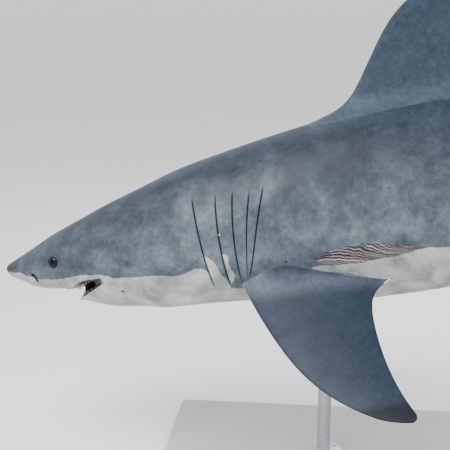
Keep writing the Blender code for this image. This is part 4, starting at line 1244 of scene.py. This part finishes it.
def toothRow(shell, row, down):
    # every tooth at once: half width w(1-v)^0.92 with saw-toothed edges, a lens for its section,
    # its front flatter than its back, carried up from the gum along the tooth's own axes
    gum = gullet(row["at"], *mouthLine())

    def gumAt(b):
        return np.stack([np.interp(b, columnB, gum[:, k]) for k in range(3)], -1)

    angles = np.radians(np.linspace(-row["reach"], row["reach"], 600))
    run = np.concatenate([[0], np.cumsum(np.linalg.norm(np.diff(gumAt(angles), axis=0), axis=1))])
    count = row["count"]
    pitch = run[-1] / count
    middle = np.interp((np.arange(count) + 0.5) * pitch, run, angles)
    root = gumAt(middle)
    step = unit(gumAt(middle + 0.02) - gumAt(middle - 0.02))
    away = unit(root - np.stack([teeth["jawMiddle"] + 0 * middle, 0 * middle, root[:, 2]], -1))
    grow = unit(np.array([0, 0, -1.0 if down else 1.0]) + row["lean"] * away)
    face = np.cross(step, grow)
    face *= np.sign(np.sum(face * away, 1))[:, None]
    offMiddle = np.abs((np.arange(count) + 0.5) / count * 2 - 1)
    alternate = 1 + teeth["differ"] * np.cos(np.arange(count) * 2.4)
    size = (row["high"] * (1 - teeth["smaller"] * offMiddle**2) * alternate)[:, None, None]
    wide = (pitch * row["wide"] * (1 - teeth["narrower"] * offMiddle))[:, None, None]
    v = np.linspace(0, 1, teeth["rings"])[None, :, None]
    h = allRound(teeth["around"])[None, None, :]
    odd = np.where(np.arange(teeth["rings"])[None, :, None] % 2, 1, -1)
    saw = 1 + teeth["saw"] * np.abs(np.cos(h)) ** 6 * odd * (v < 0.95)
    half = wide * (1 - v) ** 0.92 * saw
    deep = size * row["thick"] * (1 - v) ** 0.7 * (0.55 + 0.45 * (np.sin(h) < 0))
    hookBack = teeth["hook"] * size * v**2 * np.sign(middle)[:, None, None] * offMiddle[:, None, None]
    height = (v * (1 + teeth["buried"]) - teeth["buried"]) * size
    points = root[:, None, None, :]
    for part, axis in ((half * np.cos(h) + hookBack, step), (deep * np.sin(h), face), (height + 0 * h, grow)):
        points = points + part[..., None] * axis[:, None, None, :]
    faces = []
    for tooth, up in zip(place(points), np.clip(height / size, 0, 1)):
        # the last ring is the tip's point
        ends = tooth[0].mean(0), tooth[-1].mean(0)
        faces += tube(shell, tooth[:-1], ends, {"rise": up[:-1]}, {"rise": [0.0, 1.0]})
    return faces


def teethPiece(name, toothRows, down, material):
    shell, faces = newShell(), []
    for row in toothRows:
        faces += toothRow(shell, row, down)
    closeShell(shell, name, faces)
    makePiece(name, shell, material)


enamel = toothMaterial()
teethPiece("upperTeeth", teeth["upper"], True, enamel)
teethPiece("lowerTeeth", teeth["lower"], False, enamel)
print("teeth: done")


# Stand
plinth = {"corner": 0.040, "bevel": 0.006, "foot": 0.006, "footInset": 0.010, "cornerSteps": 10,
          "topRings": (0.05, 0.20),  # rings on its flat top, metres in from the side
          "paint": (0.38, 0.39, 0.40), "paintPale": (0.44, 0.45, 0.46), "rubbed": (0.54, 0.54, 0.53)}
rod = {"radius": 0.0298, "collar": 0.0445, "collarHigh": 0.070, "flange": 0.0845, "flangeHigh": 0.014,
       "flangeRound": 0.003, "fillet": 0.010,
       # the collar's flare: its height, its first step out, and the next ring's height over it
       "flare": 0.016, "step": 0.003, "nextRing": 0.03,
       "steel": (0.46, 0.47, 0.49), "steelPale": (0.64, 0.65, 0.66)}
screws = {
    # how many, how far out, and each one's profile: radius and height over the flange
    "count": 6, "out": 0.062,
    "profile": [(0.0072, -0.002), (0.0072, 0.0030), (0.0064, 0.0040), (0.0036, 0.0042), (0.0032, 0.0020)],
    "bottom": -0.002, "socket": 0.0018,
}


def plinthMaterial():
    openMaterial("plinthPaint", plinth)
    rubbed = noise(26.0, 5, 0.65)
    colour = blend(noise(3.0, 4), "paint", "paintPale")
    colour = blend(ramp(rubbed, 0.62, 0.74, 0.0, 0.25), colour, "rubbed")
    return closeMaterial({"Base Color": colour, "Roughness": ramp(rubbed, 0.3, 0.75, 0.50, 0.64),
                          "Normal": bumps((noise(380.0, 2, 0.5), 0.0006, 0.35))})


def steelMaterial():
    openMaterial("brushedSteel", rod)
    stretched = add("Mapping", {"Vector": canvas["here"], "Scale": (1.0, 1.0, 26.0)}).outputs[0]
    rings = noise(40.0, 4, 0.6, at=stretched)
    smudge = ramp(noise(11.0, 4), 0.4, 0.8, 0.0, 0.10)
    return closeMaterial({"Base Color": blend(rings, "steel", "steelPale"), "Metallic": 1.0,
                          "Roughness": plus(ramp(rings, 0.3, 0.7, 0.22, 0.36), smudge),
                          "Normal": bumps((rings, 0.0002, 0.5))})


def quarterArc(count):
    # cosine and sine along a quarter of a circle
    return [(math.cos(q), math.sin(q)) for q in np.linspace(0, np.pi / 2, count)]


def plinthPiece(material):
    # a rounded rectangle carried up a profile: shadow gap, side, rounded top edge, flat top
    low, high = (np.array(corner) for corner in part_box("stand_base"))
    centre, half = (low[:2] + high[:2]) / 2, (high[:2] - low[:2]) / 2
    quarter = np.linspace(0, np.pi / 2, plinth["cornerSteps"])
    turn = np.concatenate([quarter + k * np.pi / 2 for k in range(4)])
    way = np.stack([np.cos(turn), np.sin(turn)], -1)
    corner = np.repeat([[1, 1], [-1, 1], [-1, -1], [1, -1]], plinth["cornerSteps"], 0)
    r, bevel, inset, top = plinth["corner"], plinth["bevel"], plinth["footInset"], high[2]
    profile = [(inset, low[2]), (inset, low[2] + plinth["foot"]), (0.0, low[2] + plinth["foot"] + 0.001)]
    profile += [(bevel * (1 - c), top - bevel * (1 - s)) for c, s in quarterArc(7)]
    profile += [(inward, top) for inward in plinth["topRings"]]
    loops = []
    for inward, z in profile:
        shrink = min(inward, r * 0.9)
        xy = centre + corner * (half - r - (inward - shrink)) + way * (r - shrink)
        loops.append(np.concatenate([xy, np.full((len(xy), 1), z)], 1))
    shell = newShell()
    closeShell(shell, "plinth", tube(shell, np.array(loops), [[*centre, low[2]], [*centre, top]]))
    piece = makePiece("standPlinth", shell, material, math.radians(35))
    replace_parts(piece, "stand_base")


def bellyHeight(xy):
    # height of the belly over points on the floor plan: weighted from the three nearest places on it
    s, b = np.linspace(0.25, 0.70, 400), np.radians(np.linspace(-50, 50, 101))
    cloud = place(hide(s[None, :], b[:, None])).reshape(-1, 3)
    gap = ((xy[:, None, :] - cloud[None, :, :2]) ** 2).sum(-1)
    nearest = np.argpartition(gap, 3, axis=1)[:, :3]
    weights = 1 / (np.take_along_axis(gap, nearest, 1) + 1e-8)
    return (cloud[nearest, 2] * weights).sum(1) / weights.sum(1)


def turnedRings(profile, centre, count):
    # a profile of (radius, height) turned round an upright line
    radius, z = (np.array(k)[:, None] for k in zip(*profile))
    turn = allRound(count)
    return np.stack([centre[0] + radius * np.cos(turn), centre[1] + radius * np.sin(turn), z + 0 * turn], -1)


def rodPiece(name, node, material):
    # turned steel: flange with rounded edges, rod, and a flared collar that meets the belly
    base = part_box(node)[0][2]
    points = packedPoints(node)
    bottom = points[points[:, 2] < base + 0.002]
    centre = ((bottom.min(0) + bottom.max(0)) / 2)[:2]
    r, collar, fillet = rod["radius"], rod["collar"], rod["fillet"]
    flange, edge, top = rod["flange"], rod["flangeRound"], base + rod["flangeHigh"]
    meet = float(bellyHeight(centre[None])[0]) - rod["collarHigh"]
    arc, flare = quarterArc(5), rod["flare"]
    profile = [(flange, base)] + [(flange - edge * (1 - c), top - edge * (1 - s)) for c, s in arc]
    profile += [(r + fillet - fillet * s, top + fillet * (1 - c)) for c, s in arc]
    profile += [(r, base + 0.10), (r, meet - 0.020), (r + rod["step"], meet - flare)]
    profile += [(r + (collar - r) * f, meet - flare + flare * f**0.6) for f in (0.35, 0.7, 1.0)]
    profile += [(collar, meet + rod["nextRing"])]
    rings = turnedRings(profile, centre, 64)
    # the collar's rim is cut to the belly, a few millimetres inside the skin
    rim = turnedRings([(collar, 0.0)], centre, 64)
    rim[0, :, 2] = bellyHeight(rim[0, :, :2]) + 0.004
    rings = np.concatenate([rings, rim])
    shell = newShell()
    closeShell(shell, name, tube(shell, rings, [[*centre, base], [*centre, rim[..., 2].min() + 0.002]]))
    # socket screws round the flange, each a small domed disc with a hollow
    for q in (np.arange(screws["count"]) + 0.5) * 2 * np.pi / screws["count"]:
        at = centre + screws["out"] * np.array([math.cos(q), math.sin(q)])
        rings = turnedRings([(radius, top + z) for radius, z in screws["profile"]], at, 18)
        ends = [[*at, top + screws["bottom"]], [*at, top + screws["socket"]]]
        closeShell(shell, "screw", tube(shell, rings, ends))
    piece = makePiece(name, shell, material, math.radians(40))
    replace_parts(piece, node)


plinthPiece(plinthMaterial())
steel = steelMaterial()
rodPiece("standRodFront", "stand_rod_front", steel)
rodPiece("standRodRear", "stand_rod_rear", steel)
print("stand: done")


# Floor, light and camera
studio = {
    "floorSize": 900.0, "floor": (0.80, 0.805, 0.81), "floorPale": (0.83, 0.83, 0.83),
    "zenith": (0.90, 0.92, 0.95), "horizon": (0.76, 0.77, 0.78), "worldStrength": 1.35,
    # name, place, aimed at, size, watts, colour
    "lamps": [("key", (-2.6, -2.6, 5.6), (0.0, 0.0, 1.1), 3.2, 420, (1.0, 0.98, 0.95)),
              ("fill", (3.8, -4.5, 2.6), (0.3, 0.0, 1.1), 3.5, 60, (0.93, 0.97, 1.0)),
              ("rim", (1.5, 4.2, 4.4), (0.0, 0.0, 1.2), 3.0, 200, (1.0, 1.0, 1.0))],
}
view = {"azimuth": math.radians(6), "elevation": math.radians(14),
        "fromSnout": (1.36775, -3.53463, 1.11782), "lens": 67.364}


def makeFloor():
    openMaterial("paleFloor", studio)
    material = closeMaterial({"Base Color": blend(noise(0.6, 3), "floor", "floorPale"), "Roughness": 0.75})
    n = studio["floorSize"] / 2
    mesh = bpy.data.meshes.new("floor")
    mesh.from_pydata([(-n, -n, 0), (n, -n, 0), (n, n, 0), (-n, n, 0)], [], [(0, 1, 2, 3)])
    mesh.materials.append(material)
    floor = bpy.data.objects.new("floor", mesh)
    bpy.context.scene.collection.objects.link(floor)


def makeLight():
    world = bpy.data.worlds.new("studio")
    world.use_nodes = True
    canvas.update(tree=world.node_tree, colours=studio)
    # a plain sky, a little darker at the horizon so that it meets the floor without a line
    up = add("SeparateXYZ", {0: add("TexCoord").outputs["Generated"]}).outputs["Z"]
    sky = blend(ramp(up, 0.0, 0.6), "horizon", "zenith")
    wire(world.node_tree.nodes["Background"], {"Color": sky, "Strength": studio["worldStrength"]})
    bpy.context.scene.world = world
    for name, spot, target, size, watts, colour in studio["lamps"]:
        lamp = bpy.data.lights.new(name, "AREA")
        lamp.shape, lamp.size, lamp.energy, lamp.color = "DISK", size, watts, colour
        holder = bpy.data.objects.new(name, lamp)
        holder.location = spot
        holder.rotation_euler = (Vector(target) - Vector(spot)).to_track_quat("-Z", "Y").to_euler()
        bpy.context.scene.collection.objects.link(holder)


def makeCamera():
    data = bpy.data.cameras.new("camera")
    data.sensor_width, data.lens = 36.0, view["lens"]
    camera = bpy.data.objects.new("camera", data)
    camera.location = Vector(snoutTip) + Vector(view["fromSnout"])
    az, el = view["azimuth"], view["elevation"]
    back = Vector((math.sin(az) * math.cos(el), -math.cos(az) * math.cos(el), math.sin(el)))
    camera.rotation_euler = (-back).to_track_quat("-Z", "Y").to_euler()
    bpy.context.scene.collection.objects.link(camera)
    bpy.context.scene.camera = camera


makeFloor()
makeLight()
makeCamera()
print("studio: done")
